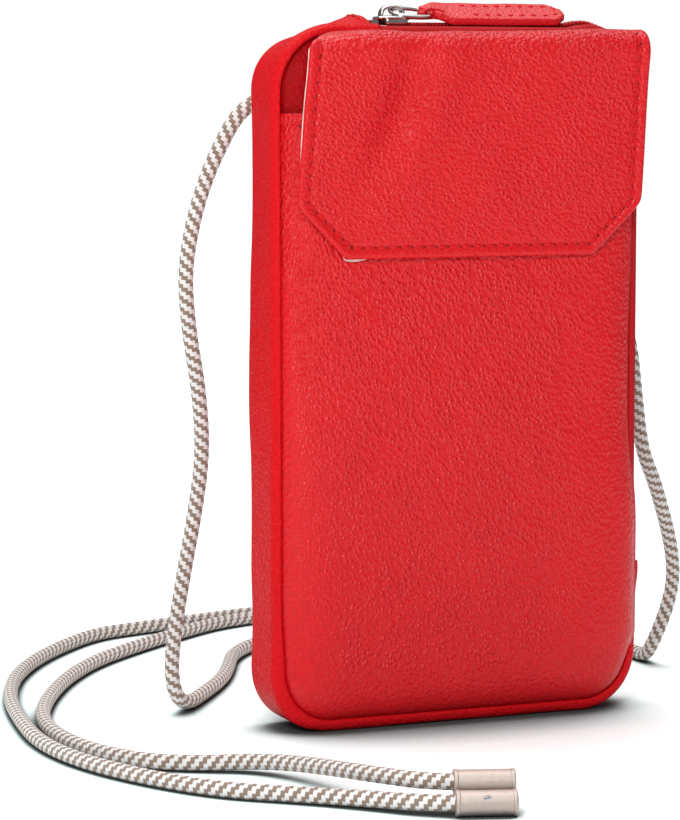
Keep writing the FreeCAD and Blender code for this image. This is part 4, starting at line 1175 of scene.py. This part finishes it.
def even_steps(points, step):
    """The same line in even steps."""
    path = np.array([tuple(p) for p in points])
    lengths = np.concatenate([[0.0], np.cumsum(np.linalg.norm(np.diff(path, axis=0), axis=1))])
    places = np.linspace(0.0, lengths[-1], round(lengths[-1] / step) + 1)
    return [Vector(p) for p in np.column_stack([np.interp(places, lengths, path[:, k]) for k in range(3)])]


def braided_cord(name, path, node):
    """A cord with the relief of its braid, mapped in braid cells along and around it."""
    side = (path[1] - path[0]).orthogonal().normalized()
    steps = circle(CORD_SIDES)
    vertices, cells = [], []
    travelled = 0.0
    for i, centre in enumerate(path):
        ahead = (path[min(i + 1, len(path) - 1)] - path[max(i - 1, 0)]).normalized()
        side = (side - ahead * side.dot(ahead)).normalized()
        up = ahead.cross(side)
        if i:
            travelled += (centre - path[i - 1]).length
        p = travelled / BRAID_CELL
        for k, (c, s) in enumerate(steps):
            q = BRAID_CELLS_ROUND * k / CORD_SIDES
            raised = 0.5 * cos(pi * (p + q) / 2) + 0.5 * cos(pi * (p - 2 * q / 3))
            radius = CORD_WIDTH / 2 - BRAID_RELIEF * (0.5 - 0.5 * raised)
            vertices.append(centre + side * (radius * c) + up * (radius * s))
        cells.append(p)
    cord = piece(name, vertices, tube_faces(len(path), CORD_SIDES), CORD_BRAID, "pouch", node)
    layer = cord.data.uv_layers.new(name="Braid")
    for polygon in cord.data.polygons:
        corners = [divmod(cord.data.loops[k].vertex_index, CORD_SIDES) for k in polygon.loop_indices]
        sides = [around for ring, around in corners]
        wraps = max(sides) - min(sides) > CORD_SIDES / 2
        for k, (ring, around) in zip(polygon.loop_indices, corners):
            if wraps and around < CORD_SIDES / 2:
                around += CORD_SIDES
            layer.data[k].uv = (cells[ring], BRAID_CELLS_ROUND * around / CORD_SIDES)
    return cord


def make_cords():
    """The cord's two free stretches, and the one across the back between its loops."""
    along = Vector((cos(CLAMP_HEADING), sin(CLAMP_HEADING), 0))
    level = Vector((-sin(CLAMP_HEADING), cos(CLAMP_HEADING), 0))
    across = level * cos(CLAMP_TILT) + Z_AXIS * sin(CLAMP_TILT)
    low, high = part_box("cord_back")
    exit_y = (low.y + high.y) / 2
    exit_z = (low.z + high.z) / 2
    stretches = (("left", LEFT_ROUTE, low.x, CLAMP_END + across * CLAMP_SPACING),
                 ("right", RIGHT_ROUTE, high.x, CLAMP_END))
    for name, route, exit_x, end in stretches:
        exit_point = Vector((exit_x, exit_y, exit_z))
        points = [exit_point, exit_point + X_AXIS * copysign(EXIT_RUN, exit_x)]
        points += [Vector((*point, FLOOR_Z)[:3]) * MM for point in route]
        points += [end - along * CORD_WIDTH, end + along * CLAMP_DEPTH]
        path = even_steps(spline_points("route_" + name, points), CORD_STEP)
        cord = braided_cord("braid_" + name, path, "cord_" + name)
    span = even_steps([(low.x, exit_y, exit_z), (high.x, exit_y, exit_z)], CORD_STEP)
    braided_cord("braid_back", span, "cord_back")


def dress_nodes():
    """Materials of the rigid nodes that stay as they are."""
    looks = {"zip_stops": NICKEL, "flap_magnet": STEEL, "pocket_magnet": STEEL,
             "cord_clamp": ROSE_METAL, "clamp_screws": STEEL}
    for name, material in looks.items():
        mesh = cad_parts[name].data
        mesh.materials.clear()
        mesh.materials.append(material)


# Stage

def aim(thing, direction):
    """Turns a camera or a lamp to look along a direction."""
    thing.rotation_mode = "QUATERNION"
    thing.rotation_quaternion = Vector(direction).to_track_quat("-Z", "Y")


def make_camera():
    """The photograph's viewpoint."""
    data = bpy.data.cameras.new("camera")
    data.sensor_width = 36.0
    data.lens = 131.2
    data.shift_x = -0.003
    data.shift_y = 0.0018
    camera = put("camera", data)
    camera.location = Vector((-321.7, -722.1, 164.4)) * MM
    aim(camera, (0.3726, 0.9222, -0.1037))
    bpy.context.scene.camera = camera


def make_world(ambient):
    """Even light from all round, with a white background where it is seen."""
    world = bpy.data.worlds.new("studio")
    bpy.context.scene.world = world
    world.use_nodes = True
    tree = world.node_tree
    sky = fill(tree.nodes["Background"], Strength=ambient, Color=(1, 1, 1, 1))
    white = add(tree, "Background", Strength=1.0, Color=(1, 1, 1, 1))
    rays = add(tree, "LightPath").outputs
    seen = rays["Is Camera Ray"]
    for kind in ("Is Glossy Ray", "Is Transmission Ray"):
        seen = calc("MAXIMUM", seen, rays[kind])
    mix = add(tree, "MixShader", Fac=seen)
    feed(mix.inputs[1], sky.outputs["Background"])
    feed(mix.inputs[2], white.outputs["Background"])
    fill(tree.nodes["World Output"], Surface=mix.outputs["Shader"])


def make_light(name, kind, power, place, target, **settings):
    """A lamp that faces a point."""
    data = bpy.data.lights.new(name, kind)
    data.energy = power
    for key, value in settings.items():
        setattr(data, key, value)
    lamp = put(name, data)
    lamp.location = place
    aim(lamp, Vector(target) - Vector(place))


def make_floor():
    """A pale floor that keeps the object's shadow. Its colour also carries a painted contact shadow near the
    object, tinted cyan against the red light bounced from the pouch.
    """
    size = 6.0
    corners = [(-size, -size, 0), (size, -size, 0), (size, size, 0), (-size, size, 0)]
    material, tree, shader = new_material("floor_paper", Roughness=1.0, Specular_IOR_Level=0.0)
    # Painted shadow: ambient occlusion darkens the floor's colour near the object, and the lower red of the
    # darker stops cancels the pouch's red bounce light.
    painted_contact_shadow = add(tree, "AmbientOcclusion", samples=12, Distance=48 * MM).outputs["AO"]
    fill(shader, Base_Color=ramp(painted_contact_shadow, (0.46, (0.085, 0.095, 0.095)), (0.6, (0.46, 0.56, 0.56)),
                                 (0.74, (0.86, 0.98, 0.98)), (0.86, (0.95, 1.0, 1.0))))
    mesh_object("floor", corners, [(0, 1, 2, 3)], material)


def make_dark_wall():
    """A low dark wall all round, out of the picture, that only reflections show."""
    sides, radius, height = 48, 0.6, 0.55
    corners = [(radius * c, radius * s, z) for z in (0.0, height) for c, s in circle(sides)]
    faces = tube_faces(2, sides)[:sides]
    cloth = new_material("dark_cloth", Base_Color=(0.15, 0.15, 0.15, 1), Roughness=1.0, Specular_IOR_Level=0.0)
    wall = mesh_object("dark_wall", corners, faces, cloth[0])
    for ray in ("camera", "diffuse", "transmission", "shadow"):
        setattr(wall, "visible_" + ray, False)


make_camera()
make_cords()
make_panels()
make_gusset()
make_tapes()
make_teeth()
make_flap()
make_mouth_stitches()
make_slider()
make_ring()
make_pull_strap()
make_pull_tongue()
make_end_tab()
make_strap_loops()
dress_nodes()
make_floor()
make_dark_wall()
make_world(0.4)
make_light("top_light", "SUN", 2.7, (0, 0, 0), (0.1, -0.28, -1.0), angle=radians(60))
make_light("key_light", "AREA", 2.75, (-0.35, -0.53, 0.36), (0.0, -0.01, 0.07), size=0.14)
bpy.context.scene.view_settings.view_transform = "Standard"
